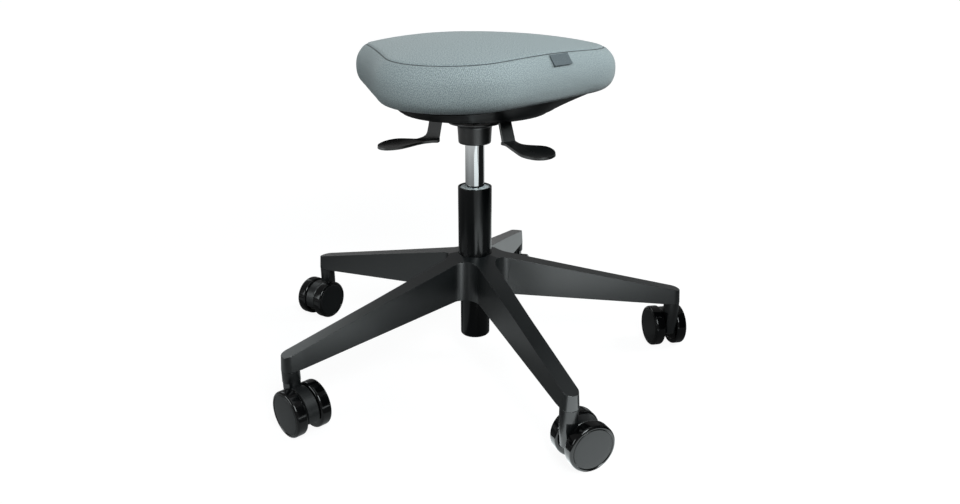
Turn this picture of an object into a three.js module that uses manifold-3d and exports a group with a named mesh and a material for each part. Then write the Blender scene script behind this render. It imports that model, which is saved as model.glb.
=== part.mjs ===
// Perch stool: a three-cornered upholstered seat with tilt, on a gas column and a five-legged base on casters.
// Lengths are millimetres, +Z is up and the stool's front is -Y. Every height is stacked up from the floor.
import * as THREE from 'three';
import { mergeVertices } from 'three/addons/utils/BufferGeometryUtils.js';
import Module from 'manifold-3d';

const wasm = await Module();
wasm.setup();

// Clearances
const fitGap = 0.3;                 // between pieces that seat on, or turn in, one another
const overrun = 3;                  // how far a cutter runs past the face that it cuts

// Casters
const wheelRadius = 32.4;
const wheelWidth = 16.5;
const wheelSpacing = 19;            // between the two wheels of a caster
const wheelRimRound = 3;
const wheelFaceRadius = 26;
const wheelFaceDish = 0.8;
const wheelBoreDepth = 12;
const casterTrail = 20.7;           // from the swivel line to the axle
const casterAxleRadius = 3;
const wheelSideGap = 0.9;           // between a wheel and the housing
const housingHoodRadius = 29.4;
const housingHoodWall = 3.2;
const housingWebThickness = 5;
const housingBossRadius = 7;
const hoodEndBelowAxle = 9;
const neckRadius = 12;
const neckRise = 17;                // from the wheels' top to the neck's top
const neckShoulder = 1.2;           // the full neck stops this far above the wheels
const neckFootRadius = 9.5;
const neckFootBelowAxle = 4;
const neckTaperHeight = 26;
const stemRadius = 5.5;
const stemDepthInNeck = 16;
const stemRise = 17;                // above the neck's top
const gripGrooveDepth = 1;
const gripRingHeight = 5;
const gripRingBelowTop = 4;
const gripRingSlot = 2;
const swivelGap = 0.6;              // between the neck and the leg's underside

// Base
const legCount = 5;
const firstLegAngle = THREE.MathUtils.degToRad(18);
const casterCircleRadius = 313;
const legEndHeight = 23.6;
const legTopRise = 67;              // of the leg's top from its end to the column
const legUndersideRise = 26;
const webReach = 40;                // from the column's centre line to the wall between two legs
const webFilletRadius = 24;
const hubFlatRadius = 46;
const legWall = 4;
const pocketStartRadius = 58;
const pocketEndInset = 22;          // from the caster's centre line to the end of the leg's pocket
const pocketRibThickness = 4;
const stemBoreTopWall = 6;

// Column
const columnRadius = 25;
const columnFootRadius = 22.5;
const columnWall = 2.6;
const columnStandUp = 104;          // above the hub
const columnFootDrop = 70;          // below the hub's underside
const columnFootRound = 2.4;
const columnTaperHeight = 60;
const columnEndWebThickness = 4;
const clipRecessRadius = 11;
const clipRecessDepth = 4.2;
const bushLength = 84;
const bushRecess = 1.6;             // of the bush's top under the column's rim
const bushShoulderRadius = 17.5;
const bushNotchWidth = 3.4;
const bushNotchDepth = 4;
const bushNotchCount = 8;

// Gas lift
const cylinderRadius = 14;
const cylinderWall = 2;
const cylinderTopRadius = 13.2;
const cylinderTaperLength = 24;
const cylinderShown = 64;           // of chrome between the column's rim and the socket, as photographed
const cylinderBottomClearance = 56; // over the column's end web, as photographed
const cylinderLip = 1.2;
const rodRadius = 5;
const rodNeckRadius = 4;
const rodRise = 166;                // of the piston's top over the column's end web
const pistonHeight = 10;
const sealHeight = 14;
const washerRadius = 16;
const washerThickness = 2;
const ballRadius = 2.4;
const ballCount = 6;
const ballCircleRadius = 11;
const cageThickness = 2;
const bumperHeight = 9;
const bumperRadius = 11;
const clipRadius = 8;
const clipThickness = 2;
const clipSlot = 4;
const clipGrooveRadius = 3;
const rodEndBelowClip = 0.5;
const releasePinRadius = 4;
const releasePinDepth = 14;
const releasePinRise = 12.4;        // over the cylinder's top
const releasePinTipRadius = 1.6;
const releasePinTipHeight = 0.9;    // the cone at its upper end clears the arm when the seat tilts

// Seat mechanism
const socketHeight = 27;
const socketFootRadius = 23.6;
const socketTopRadius = 25;
const flareRadius = 38;
const flareHeight = 4;
const flareRimHeight = 3;
const socketRoofThickness = 5.4;
const pivotRise = 9;                // of the tilt axis over the housing's top
const pivotPinRadius = 4;
const lugThickness = 6;
const lugHalfWidth = 7.5;
const lugInnerReach = 26;
const earThickness = 4;
const plateRise = 10.3;             // of the seat plate's underside over the tilt axis
const plateThickness = 4;
const plateHalfWidth = 68;
const plateHalfLength = 48;
const plateCornerRadius = 14;
const boltReachX = 14;
const boltReachY = 40;
const boltRadius = 3;
const boltHeadRadius = 5;
const boltHeadHeight = 3;
const boltGrip = 11;                // of the bolt in the seat board

// Levers
const leverThickness = 4;
const leverHalfWidth = 11;
const leverArmHalfWidth = 7;
const leverPivotReach = 43;
const leverBendReach = 59;
const leverDrop = 29;
const leverDropLean = 8.5;
const paddleLength = 80;
const paddleFall = 5;
const paddleHalfWidth = 21;
const paddleRoundLength = 28;
const leverPinRadius = 2.5;
const leverEyeWall = 3;
const bracketThickness = 3;
const bracketHalfLength = 5;
const heightLeverOvershoot = 6;     // of the arm past the release pin's centre line
const tiltLeverArmEnd = 22;
const heightLeverAngle = THREE.MathUtils.degToRad(-33.7);
const tiltLeverAngle = THREE.MathUtils.degToRad(-139);

// Seat
const seatLean = THREE.MathUtils.degToRad(1.15);  // forwards about the tilt axis, as photographed
const seatCorners = 3;
const seatCornerAngle = THREE.MathUtils.degToRad(-90);
const seatCornerReach = 101.3;      // from the column's centre line to the centre of a corner's arc
const seatCornerRadius = 104.1;
const seatSideReach = 153;          // from the column's centre line to the middle of a side, which is hollow
const shellFloorRadius = 106;
const shellRimInset = 33;
const shellWall = 3;
const shellRimWidth = 6;
const shellOpeningRadius = 70;
const boardThickness = 18;
const boardClearance = 1;           // between the board's edge and the shell
const cushionFootInset = 42;
const cushionSideHeight = 31.5;     // from the cushion's underside to its widest level
const cushionSeamRise = 29.4;
const cushionSeamInset = 13.9;
const cushionCrown = 18.5;
const cushionSeamGroove = 1.2;
const cushionSeamWidth = 2.4;
const tabWidth = 36;
const tabHeight = 16;
const tabThickness = 1.2;
const tabBelowSeam = 2;
const tabStandOff = 1.4;            // from the cushion's side at the tab's upper and lower edges

// Shapes of curves, as exponents, and facets of round pieces
const cushionSidePower = 3.1;
const cushionCrownPower = 1.8;
const roundSides = 24;
const wheelSides = 20;
const hoodSides = 16;
const neckSides = 16;
const pinSides = 10;
const ballSides = 6;
const arcDivisions = 6;
const cushionSideRings = 6;
const cushionCrownRings = 5;
const cushionUpperShares = [0.4, 0.75];
const cornerDivisions = 10;
const sideDivisions = 3;
const tabSideShare = 0.55;          // of the way along the seat's right-hand front side

// Heights over the floor, worked out from the sizes above
const axleHeight = wheelRadius * Math.cos(Math.PI / wheelSides);
const neckTop = axleHeight + wheelRadius + neckRise;
const legEndUnderside = neckTop + swivelGap;
const legEndTop = legEndUnderside + legEndHeight;
const hubTop = legEndTop + legTopRise;
const hubUnderside = legEndUnderside + legUndersideRise;
const columnFoot = hubUnderside - columnFootDrop;
const columnTop = hubTop + columnStandUp;
const endWebTop = columnFoot + clipRecessDepth + columnEndWebThickness;
const lowerWasherTop = endWebTop + fitGap + washerThickness;
const ballCentre = lowerWasherTop + fitGap + ballRadius;
const upperWasherTop = ballCentre + ballRadius + fitGap + washerThickness;
const rodShoulder = upperWasherTop + fitGap;
const socketFoot = columnTop + cylinderShown;
const socketTop = socketFoot + socketHeight;
const cylinderTop = socketTop - fitGap;
const housingTop = socketTop + socketRoofThickness;
const tiltAxisHeight = housingTop + pivotRise;
const plateUnderside = tiltAxisHeight + plateRise;
const plateTop = plateUnderside + plateThickness;
const boardUnderside = plateTop + fitGap;
const boardTop = boardUnderside + boardThickness;
const shellFloor = plateUnderside - fitGap - shellWall;
const cushionUnderside = boardTop + fitGap;
const shellRim = boardTop;
const cushionWidest = cushionUnderside + cushionSideHeight;
const cushionSeam = cushionWidest + cushionSeamRise;

// Legs, counted anticlockwise from the right-hand one, with the direction each caster trails in
const casterTrailAngles = [115.4, -90, -107.5, -30.9, 38.9].map(THREE.MathUtils.degToRad);

// Materials
function finish(color, roughness, metalness) {
  return new THREE.MeshStandardMaterial({ color, roughness, metalness });
}
const satinBaseFinish = () => finish(0x34383a, 0.55, 0.1);
const glossWheelFinish = () => finish(0x0b0c0d, 0.2, 0);
const columnFinish = () => finish(0x0c0d0e, 0.35, 0.4);
const chromeFinish = () => finish(0xc8cccf, 0.12, 1);
const steelFinish = () => finish(0x8b8f92, 0.35, 1);
const bushFinish = () => finish(0x6c7173, 0.5, 0);
const rubberFinish = () => finish(0x161616, 0.85, 0);
const mechanismFinish = () => finish(0x141617, 0.45, 0.3);
const leverFinish = () => finish(0x17191a, 0.5, 0.1);
const shellFinish = () => finish(0x1b1e20, 0.45, 0);
const boardFinish = () => finish(0xb08a5c, 0.7, 0);
const fabricFinish = () => finish(0x8b989b, 0.9, 0);
const tabFinish = () => finish(0x5f6a6f, 0.85, 0);

// Closed meshes and solids
function solidFrom(geometry) {
  const bare = geometry.clone();
  bare.deleteAttribute('normal');
  bare.deleteAttribute('uv');
  const merged = mergeVertices(bare);
  const vertProperties = new Float32Array(merged.attributes.position.array);
  const triVerts = new Uint32Array(merged.index.array);
  return new wasm.Manifold(new wasm.Mesh({ numProp: 3, vertProperties, triVerts }));
}

function geometryFrom(solid) {
  const mesh = solid.getMesh();
  const geometry = new THREE.BufferGeometry();
  geometry.setAttribute('position', new THREE.BufferAttribute(mesh.vertProperties, 3));
  geometry.setIndex(new THREE.BufferAttribute(mesh.triVerts, 1));
  const faceted = geometry.toNonIndexed();
  faceted.computeVertexNormals();
  return faceted;
}

// A profile of [radius, height] points turned about the Z axis, with its first edge at startAngle
function turned(profile, sides, startAngle = 0) {
  const points = profile.map(([radius, height]) => new THREE.Vector2(radius, height));
  const geometry = new THREE.LatheGeometry(points, sides);
  geometry.rotateX(Math.PI / 2);
  geometry.rotateZ(startAngle + Math.PI / 2);
  return solidFrom(geometry);
}

// A closed profile, whose last point joins its first
function turnedRing(profile, sides, startAngle = 0) {
  return turned([...profile, profile[0]], sides, startAngle);
}

function rod(radius, low, high, sides = roundSides) {
  return turned([[0, low], [radius, low], [radius, high], [0, high]], sides);
}

function tube(innerRadius, outerRadius, low, high, sides = roundSides) {
  const profile = [[innerRadius, low], [outerRadius, low], [outerRadius, high], [innerRadius, high]];
  return turnedRing(profile, sides);
}

// A flat outline in X and Y, raised from low to high
function prism(shape, low, high) {
  const geometry = new THREE.ExtrudeGeometry(shape, {
    depth: high - low, bevelEnabled: false, curveSegments: arcDivisions, steps: 1,
  });
  geometry.translate(0, 0, low);
  return solidFrom(geometry);
}

function block(lowX, highX, lowY, highY, lowZ, highZ) {
  const geometry = new THREE.BoxGeometry(highX - lowX, highY - lowY, highZ - lowZ);
  geometry.translate((lowX + highX) / 2, (lowY + highY) / 2, (lowZ + highZ) / 2);
  return solidFrom(geometry);
}

// Turns a solid made about the Z axis so that it lies along X or Y
const alongX = (solid) => solid.rotate([0, 90, 0]);
const alongY = (solid) => solid.rotate([-90, 0, 0]);

function piece(name, solid, material) {
  const mesh = new THREE.Mesh(geometryFrom(solid), material);
  mesh.name = name;
  return mesh;
}

// Base
function legAngle(index) {
  return firstLegAngle + index * 2 * Math.PI / legCount;
}

// The height of a leg's top at a distance from the column's centre line
function legTopAt(reach) {
  const slope = legTopRise / (casterCircleRadius - columnRadius);
  return hubTop - slope * (reach - columnRadius);
}

// The lean of a leg's side, which touches the round end and the fillet between two legs
function legSideLean() {
  const halfStep = Math.PI / legCount;
  const filletAlong = (webReach + webFilletRadius) * Math.cos(halfStep);
  const filletAcross = (webReach + webFilletRadius) * Math.sin(halfStep);
  const span = Math.hypot(casterCircleRadius - filletAlong, filletAcross);
  const bearing = Math.atan2(casterCircleRadius - filletAlong, filletAcross);
  return bearing - Math.acos((neckRadius + webFilletRadius) / span);
}

function baseOutline() {
  const shape = new THREE.Shape();
  const lean = legSideLean();
  const halfStep = Math.PI / legCount;
  for (let index = 0; index < legCount; index += 1) {
    const angle = legAngle(index);
    const endX = casterCircleRadius * Math.cos(angle);
    const endY = casterCircleRadius * Math.sin(angle);
    const quarter = Math.PI / 2;
    shape.absarc(endX, endY, neckRadius, angle - quarter - lean, angle + quarter + lean, false);
    const webX = (webReach + webFilletRadius) * Math.cos(angle + halfStep);
    const webY = (webReach + webFilletRadius) * Math.sin(angle + halfStep);
    const webStart = angle - quarter + lean;
    const webEnd = 2 * (angle + halfStep) - webStart - 2 * Math.PI;
    shape.absarc(webX, webY, webFilletRadius, webStart, webEnd, true);
  }
  shape.closePath();
  return shape;
}

// What lies under the five sloping tops, lowered by drop, and over the undersides
function baseEnvelope(drop, withUnderside) {
  const stretch = 1 / Math.cos(Math.PI / legCount);
  const outerReach = casterCircleRadius + neckRadius + overrun;
  const flatReach = casterCircleRadius - neckRadius - fitGap;
  const low = withUnderside ? hubUnderside : columnFoot;
  const lowEnd = withUnderside ? legEndUnderside : columnFoot;
  const profile = [
    [0, low], [hubFlatRadius * stretch, low], [flatReach * stretch, lowEnd], [outerReach * stretch, lowEnd],
    [outerReach * stretch, legTopAt(outerReach) - drop], [0, legTopAt(0) - drop],
  ];
  return turned(profile, legCount, legAngle(0) + Math.PI / legCount);
}

function legPockets() {
  const lean = legSideLean();
  const end = casterCircleRadius - pocketEndInset;
  const middle = (pocketStartRadius + end) / 2;
  const halfRib = pocketRibThickness / 2;
  const halfWidthAt = (reach) => (
    neckRadius / Math.cos(lean) - Math.tan(lean) * (casterCircleRadius - reach) - legWall
  );
  const pockets = [];
  for (const [start, stop] of [[pocketStartRadius, middle - halfRib], [middle + halfRib, end]]) {
    const shape = new THREE.Shape();
    shape.moveTo(start, -halfWidthAt(start));
    shape.lineTo(stop, -halfWidthAt(stop));
    shape.lineTo(stop, halfWidthAt(stop));
    shape.lineTo(start, halfWidthAt(start));
    shape.closePath();
    const pocket = prism(shape, columnFoot, hubTop);
    for (let index = 0; index < legCount; index += 1) {
      pockets.push(pocket.rotate([0, 0, THREE.MathUtils.radToDeg(legAngle(index))]));
    }
  }
  return pockets;
}

// The column's outside, which the hub's bore follows at a clearance
function columnOutside(clearance) {
  const taperTop = hubTop - fitGap;
  const taperFoot = taperTop - columnTaperHeight;
  return [
    [columnFootRadius + clearance, taperFoot],
    [columnRadius + clearance, taperTop],
  ];
}

function starBase() {
  const [boreFoot, boreTop] = columnOutside(fitGap);
  const bore = turned([
    [0, columnFoot], [boreFoot[0], columnFoot], boreFoot, boreTop,
    [boreTop[0], hubTop + overrun], [0, hubTop + overrun],
  ], roundSides);
  let solid = prism(baseOutline(), columnFoot, hubTop + overrun).intersect(baseEnvelope(0, true));
  solid = solid.subtract(bore);
  const roof = baseEnvelope(legWall, false);
  for (const pocket of legPockets()) {
    solid = solid.subtract(pocket.intersect(roof));
  }
  const stemBore = rod(stemRadius + fitGap, legEndUnderside - overrun, legEndTop - stemBoreTopWall, pinSides);
  for (let index = 0; index < legCount; index += 1) {
    const angle = legAngle(index);
    const reach = [casterCircleRadius * Math.cos(angle), casterCircleRadius * Math.sin(angle), 0];
    solid = solid.subtract(stemBore.translate(reach));
  }
  return piece('star_base', solid, satinBaseFinish());
}

// Casters, each made about its swivel line and trailing along +X
function casterHousing() {
  const halfWidth = wheelSpacing / 2 - wheelSideGap;
  const halfWeb = housingWebThickness / 2;
  const hoodInner = housingHoodRadius - housingHoodWall;
  const bore = casterAxleRadius + fitGap;
  const hood = turnedRing([
    [bore, -halfWidth], [housingBossRadius, -halfWidth], [housingBossRadius, -halfWeb],
    [hoodInner, -halfWeb], [hoodInner, -halfWidth], [housingHoodRadius, -halfWidth],
    [housingHoodRadius, halfWidth], [hoodInner, halfWidth], [hoodInner, halfWeb],
    [housingBossRadius, halfWeb], [housingBossRadius, halfWidth], [bore, halfWidth],
  ], hoodSides);
  const wheelsTop = axleHeight + wheelRadius;
  const foot = axleHeight - neckFootBelowAxle;
  const farReach = wheelRadius + casterTrail;
  const hoodKept = block(
    0, farReach, -wheelSpacing, wheelSpacing, axleHeight - hoodEndBelowAxle, wheelsTop + neckRise,
  );
  const hoodPlaced = alongY(hood).translate([casterTrail, 0, axleHeight]).intersect(hoodKept);
  const neck = turned([
    [0, foot], [neckFootRadius, foot], [neckRadius, foot + neckTaperHeight], [neckRadius, neckTop], [0, neckTop],
  ], neckSides);
  const lowSlab = block(-neckRadius, neckRadius, -halfWidth, halfWidth, foot, neckTop);
  const highSlab = block(-neckRadius, neckRadius, -neckRadius, neckRadius, wheelsTop + neckShoulder, neckTop);
  const post = neck.intersect(lowSlab.add(highSlab));
  const axleBore = alongY(rod(bore, -halfWidth - overrun, halfWidth + overrun, pinSides));
  const stemBore = rod(stemRadius + fitGap, neckTop - stemDepthInNeck - fitGap, neckTop + overrun, pinSides);
  return post.add(hoodPlaced).subtract(axleBore.translate([casterTrail, 0, axleHeight])).subtract(stemBore);
}

function casterStem() {
  const low = neckTop - stemDepthInNeck;
  const top = neckTop + stemRise;
  const grooveHigh = top - gripRingBelowTop;
  const grooveLow = grooveHigh - gripRingHeight - 2 * fitGap;
  const grooveRadius = stemRadius - gripGrooveDepth;
  return turned([
    [0, low], [stemRadius, low], [stemRadius, grooveLow], [grooveRadius, grooveLow], [grooveRadius, grooveHigh],
    [stemRadius, grooveHigh], [stemRadius, top - gripGrooveDepth], [grooveRadius, top], [0, top],
  ], pinSides);
}

function splitRing(innerRadius, outerRadius, low, high, slot) {
  const ring = tube(innerRadius, outerRadius, low, high, pinSides);
  return ring.subtract(block(0, outerRadius + overrun, -slot / 2, slot / 2, low - overrun, high + overrun));
}

function casterWheel() {
  const inner = wheelSpacing / 2;
  const outer = inner + wheelWidth;
  const face = outer - wheelFaceDish;
  return turned([
    [0, inner + wheelBoreDepth], [casterAxleRadius + fitGap, inner + wheelBoreDepth],
    [casterAxleRadius + fitGap, inner], [wheelRadius - wheelRimRound, inner],
    [wheelRadius, inner + wheelRimRound], [wheelRadius, outer - wheelRimRound],
    [wheelRadius - wheelRimRound, outer], [wheelFaceRadius, outer],
    [wheelFaceRadius - wheelFaceDish, face], [0, face],
  ], wheelSides, Math.PI / wheelSides);
}

function caster(index) {
  const number = index + 1;
  const group = new THREE.Group();
  const angle = legAngle(index);
  group.position.set(casterCircleRadius * Math.cos(angle), casterCircleRadius * Math.sin(angle), 0);
  group.rotation.z = casterTrailAngles[index];
  group.add(piece(`caster_housing_${number}`, casterHousing(), satinBaseFinish()));
  group.add(piece(`caster_stem_${number}`, casterStem(), steelFinish()));
  const ringTop = neckTop + stemRise - gripRingBelowTop - fitGap;
  const ring = splitRing(
    stemRadius - gripGrooveDepth + fitGap, stemRadius, ringTop - gripRingHeight, ringTop, gripRingSlot,
  );
  group.add(piece(`grip_ring_${number}`, ring, steelFinish()));
  const axleGroup = new THREE.Group();
  axleGroup.position.set(casterTrail, 0, axleHeight);
  const halfAxle = wheelSpacing / 2 + wheelBoreDepth - fitGap;
  axleGroup.add(piece(`caster_axle_${number}`, alongY(rod(casterAxleRadius, -halfAxle, halfAxle, pinSides)),
    steelFinish()));
  const wheel = alongY(casterWheel());
  axleGroup.add(piece(`wheel_left_${number}`, wheel, glossWheelFinish()));
  axleGroup.add(piece(`wheel_right_${number}`, wheel.mirror([0, 1, 0]), glossWheelFinish()));
  group.add(axleGroup);
  return group;
}

// Column
function columnTube() {
  const [taperFoot, taperTop] = columnOutside(0);
  const inner = columnRadius - columnWall;
  const lowerInner = columnFootRadius - columnWall;
  const shoulder = columnTop - bushRecess - bushLength - fitGap;
  const shoulderFoot = shoulder - columnWall;
  const solid = turned([
    [clipRecessRadius, columnFoot], [columnFootRadius - columnFootRound, columnFoot],
    [columnFootRadius, columnFoot + columnFootRound], taperFoot, taperTop, [columnRadius, columnTop],
    [inner, columnTop], [inner, shoulder], [bushShoulderRadius, shoulder], [bushShoulderRadius, shoulderFoot],
    [lowerInner, shoulderFoot], [lowerInner, endWebTop], [rodNeckRadius + fitGap, endWebTop],
    [rodNeckRadius + fitGap, columnFoot + clipRecessDepth], [clipRecessRadius, columnFoot + clipRecessDepth],
    [clipRecessRadius, columnFoot],
  ], roundSides);
  return piece('column_tube', solid, columnFinish());
}

function guideBush() {
  const top = columnTop - bushRecess;
  const outer = columnRadius - columnWall - fitGap;
  let solid = tube(cylinderRadius + fitGap, outer, top - bushLength, top);
  const notch = block(
    cylinderRadius + columnWall, columnRadius, -bushNotchWidth / 2, bushNotchWidth / 2,
    top - bushNotchDepth, top + overrun,
  );
  for (let index = 0; index < bushNotchCount; index += 1) {
    solid = solid.subtract(notch.rotate([0, 0, 360 * index / bushNotchCount]));
  }
  return piece('guide_bush', solid, bushFinish());
}

function ballCage() {
  const halfCage = cageThickness / 2;
  let solid = tube(
    rodNeckRadius + 2 * fitGap, washerRadius - fitGap, ballCentre - halfCage, ballCentre + halfCage,
  );
  const ball = solidFrom(new THREE.SphereGeometry(ballRadius, ballSides, ballSides));
  for (let index = 0; index < ballCount; index += 1) {
    const angle = 2 * Math.PI * index / ballCount;
    const place = [ballCircleRadius * Math.cos(angle), ballCircleRadius * Math.sin(angle), ballCentre];
    solid = solid.add(ball.translate(place));
  }
  return piece('bearing_ball_cage', solid, steelFinish());
}

function pistonRod() {
  const clipLow = columnFoot + clipRecessDepth - fitGap - clipThickness;
  const clipHigh = clipLow + clipThickness;
  const end = clipLow - rodEndBelowClip;
  const pistonTop = endWebTop + rodRise;
  const pistonRadius = cylinderRadius - cylinderWall - fitGap;
  const solid = turned([
    [0, end], [rodNeckRadius, end], [rodNeckRadius, clipLow - fitGap], [clipGrooveRadius, clipLow - fitGap],
    [clipGrooveRadius, clipHigh + fitGap / 2], [rodNeckRadius, clipHigh + fitGap / 2],
    [rodNeckRadius, rodShoulder], [rodRadius, rodShoulder], [rodRadius, pistonTop - pistonHeight],
    [pistonRadius, pistonTop - pistonHeight], [pistonRadius, pistonTop], [0, pistonTop],
  ], pinSides);
  return piece('piston_rod', solid, steelFinish());
}

function retainingClip() {
  const high = columnFoot + clipRecessDepth - fitGap;
  const solid = splitRing(clipGrooveRadius + fitGap, clipRadius, high - clipThickness, high, clipSlot);
  return piece('retaining_clip', solid, steelFinish());
}

function gasCylinder() {
  const low = endWebTop + cylinderBottomClearance;
  const inner = cylinderRadius - cylinderWall;
  const roof = cylinderTop - releasePinDepth - fitGap;
  const pinBore = releasePinRadius + fitGap;
  const taperFoot = cylinderTop - cylinderTaperLength;
  const solid = turned([
    [inner, low], [cylinderRadius, low], [cylinderRadius, taperFoot], [cylinderTopRadius, cylinderTop],
    [pinBore, cylinderTop], [pinBore, roof], [inner, roof], [inner, low],
  ], roundSides);
  return piece('gas_cylinder', solid, chromeFinish());
}

function rodSeal() {
  const low = endWebTop + cylinderBottomClearance - cylinderLip;
  const inner = cylinderRadius - cylinderWall - fitGap;
  const solid = turnedRing([
    [rodRadius + fitGap, low], [cylinderRadius - fitGap, low], [cylinderRadius - fitGap, low + cylinderLip - fitGap],
    [inner, low + cylinderLip - fitGap], [inner, low + sealHeight], [rodRadius + fitGap, low + sealHeight],
  ], roundSides);
  return piece('rod_seal', solid, rubberFinish());
}

function releasePin() {
  const low = cylinderTop - releasePinDepth;
  const high = cylinderTop + releasePinRise;
  const solid = turned([
    [0, low], [releasePinRadius, low], [releasePinRadius, high - releasePinTipHeight],
    [releasePinTipRadius, high], [0, high],
  ], pinSides);
  return piece('release_pin', solid, steelFinish());
}

// Seat mechanism
function mechanismHousing() {
  const taperFoot = cylinderTop - cylinderTaperLength;
  const flareFoot = housingTop - flareRimHeight - flareHeight;
  const bore = turned([
    [0, socketFoot - overrun], [cylinderRadius + fitGap, socketFoot - overrun],
    [cylinderRadius + fitGap, Math.max(taperFoot, socketFoot)], [cylinderTopRadius + fitGap, socketTop],
    [releasePinRadius + 2 * fitGap, socketTop], [releasePinRadius + 2 * fitGap, housingTop + overrun],
    [0, housingTop + overrun],
  ], roundSides);
  let solid = turned([
    [0, socketFoot], [socketFootRadius, socketFoot], [socketTopRadius, flareFoot],
    [flareRadius, housingTop - flareRimHeight], [flareRadius, housingTop], [0, housingTop],
  ], roundSides);
  solid = solid.subtract(bore);
  for (const side of [-1, 1]) {
    const inner = side * lugInnerReach;
    const outer = side * (lugInnerReach + lugThickness);
    const lug = prismAcross(lugShape(housingTop - fitGap), inner, outer);
    solid = solid.add(lug);
  }
  const pinBore = alongX(rod(
    pivotPinRadius + fitGap, -lugInnerReach - lugThickness - overrun, lugInnerReach + lugThickness + overrun,
    pinSides,
  )).translate([0, 0, tiltAxisHeight]);
  return piece('mechanism_housing', solid.subtract(pinBore), mechanismFinish());
}

// A lug's outline in Y and Z: straight sides from its foot and a round end about the tilt axis
function lugShape(foot) {
  const shape = new THREE.Shape();
  shape.moveTo(-lugHalfWidth, foot);
  shape.lineTo(lugHalfWidth, foot);
  if (foot < tiltAxisHeight) {
    shape.absarc(0, tiltAxisHeight, lugHalfWidth, 0, Math.PI, false);
  } else {
    shape.absarc(0, tiltAxisHeight, lugHalfWidth, 0, -Math.PI, true);
  }
  shape.closePath();
  return shape;
}

// An outline in Y and Z, thickened along X
function prismAcross(shape, fromX, toX) {
  const low = Math.min(fromX, toX);
  const high = Math.max(fromX, toX);
  return prism(shape, low, high).rotate([90, 0, 0]).rotate([0, 0, 90]);
}

function tiltPivotPin(name, side) {
  const inner = lugInnerReach - fitGap;
  const outer = lugInnerReach + lugThickness + earThickness + 2 * fitGap;
  const solid = alongX(rod(pivotPinRadius, Math.min(side * inner, side * outer),
    Math.max(side * inner, side * outer), pinSides));
  return piece(name, solid.translate([0, 0, tiltAxisHeight]), steelFinish());
}

function roundedRectangle(halfX, halfY, radius) {
  const shape = new THREE.Shape();
  const quarter = Math.PI / 2;
  shape.absarc(halfX - radius, halfY - radius, radius, 0, quarter, false);
  shape.absarc(-halfX + radius, halfY - radius, radius, quarter, 2 * quarter, false);
  shape.absarc(-halfX + radius, -halfY + radius, radius, 2 * quarter, 3 * quarter, false);
  shape.absarc(halfX - radius, -halfY + radius, radius, 3 * quarter, 4 * quarter, false);
  shape.closePath();
  return shape;
}

function boltPlaces() {
  const places = [];
  for (const sideX of [-1, 1]) {
    for (const sideY of [-1, 1]) {
      places.push([sideX * boltReachX, sideY * boltReachY, 0]);
    }
  }
  return places;
}

function seatPlate() {
  let solid = prism(
    roundedRectangle(plateHalfWidth, plateHalfLength, plateCornerRadius), plateUnderside, plateTop,
  );
  for (const side of [-1, 1]) {
    const inner = side * (lugInnerReach + lugThickness + fitGap);
    const outer = inner + side * earThickness;
    const ear = prismAcross(lugShape(plateUnderside + fitGap), inner, outer);
    const bore = alongX(rod(pivotPinRadius + fitGap, Math.min(inner, outer) - fitGap,
      Math.max(inner, outer) + overrun, pinSides)).translate([0, 0, tiltAxisHeight]);
    solid = solid.add(ear).subtract(bore);
  }
  const bracketFoot = tiltAxisHeight - leverPinRadius - leverEyeWall;
  for (const angle of [heightLeverAngle, tiltLeverAngle]) {
    for (const side of [-1, 1]) {
      const inner = leverHalfWidth + 2 * fitGap;
      const low = Math.min(side * inner, side * (inner + bracketThickness));
      const high = Math.max(side * inner, side * (inner + bracketThickness));
      const bracket = block(
        leverPivotReach - bracketHalfLength, leverPivotReach + bracketHalfLength, low, high,
        bracketFoot, plateUnderside + fitGap,
      );
      solid = solid.add(bracket.rotate([0, 0, THREE.MathUtils.radToDeg(angle)]));
    }
    solid = solid.subtract(leverPinSolid(fitGap, overrun).rotate([0, 0, THREE.MathUtils.radToDeg(angle)]));
  }
  for (const place of boltPlaces()) {
    const hole = rod(boltRadius + fitGap, plateUnderside - overrun, plateTop + overrun, pinSides);
    solid = solid.subtract(hole.translate(place));
  }
  return piece('seat_plate', solid, mechanismFinish());
}

// Levers, each made along +X with its pivot pin along Y
function leverPinSolid(clearance, extra) {
  const half = leverHalfWidth + bracketThickness + 3 * fitGap + extra;
  const pin = alongY(rod(leverPinRadius + clearance, -half, half, pinSides));
  return pin.translate([leverPivotReach, 0, tiltAxisHeight]);
}

// The outline of a bent strip: its centre line, moved out by half its thickness to both sides
function stripOutline(points, thickness) {
  const half = thickness / 2;
  const left = [];
  const right = [];
  points.forEach((point, index) => {
    const before = points[Math.max(index - 1, 0)];
    const after = points[Math.min(index + 1, points.length - 1)];
    const arriving = index > 0 ? point.clone().sub(before).normalize() : after.clone().sub(point).normalize();
    const leaving = index < points.length - 1 ? after.clone().sub(point).normalize() : arriving;
    const along = arriving.clone().add(leaving).normalize();
    const across = new THREE.Vector2(-along.y, along.x);
    const reach = half / across.dot(new THREE.Vector2(-leaving.y, leaving.x));
    left.push(point.clone().addScaledVector(across, reach));
    right.unshift(point.clone().addScaledVector(across, -reach));
  });
  return new THREE.Shape([...left, ...right]);
}

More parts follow.
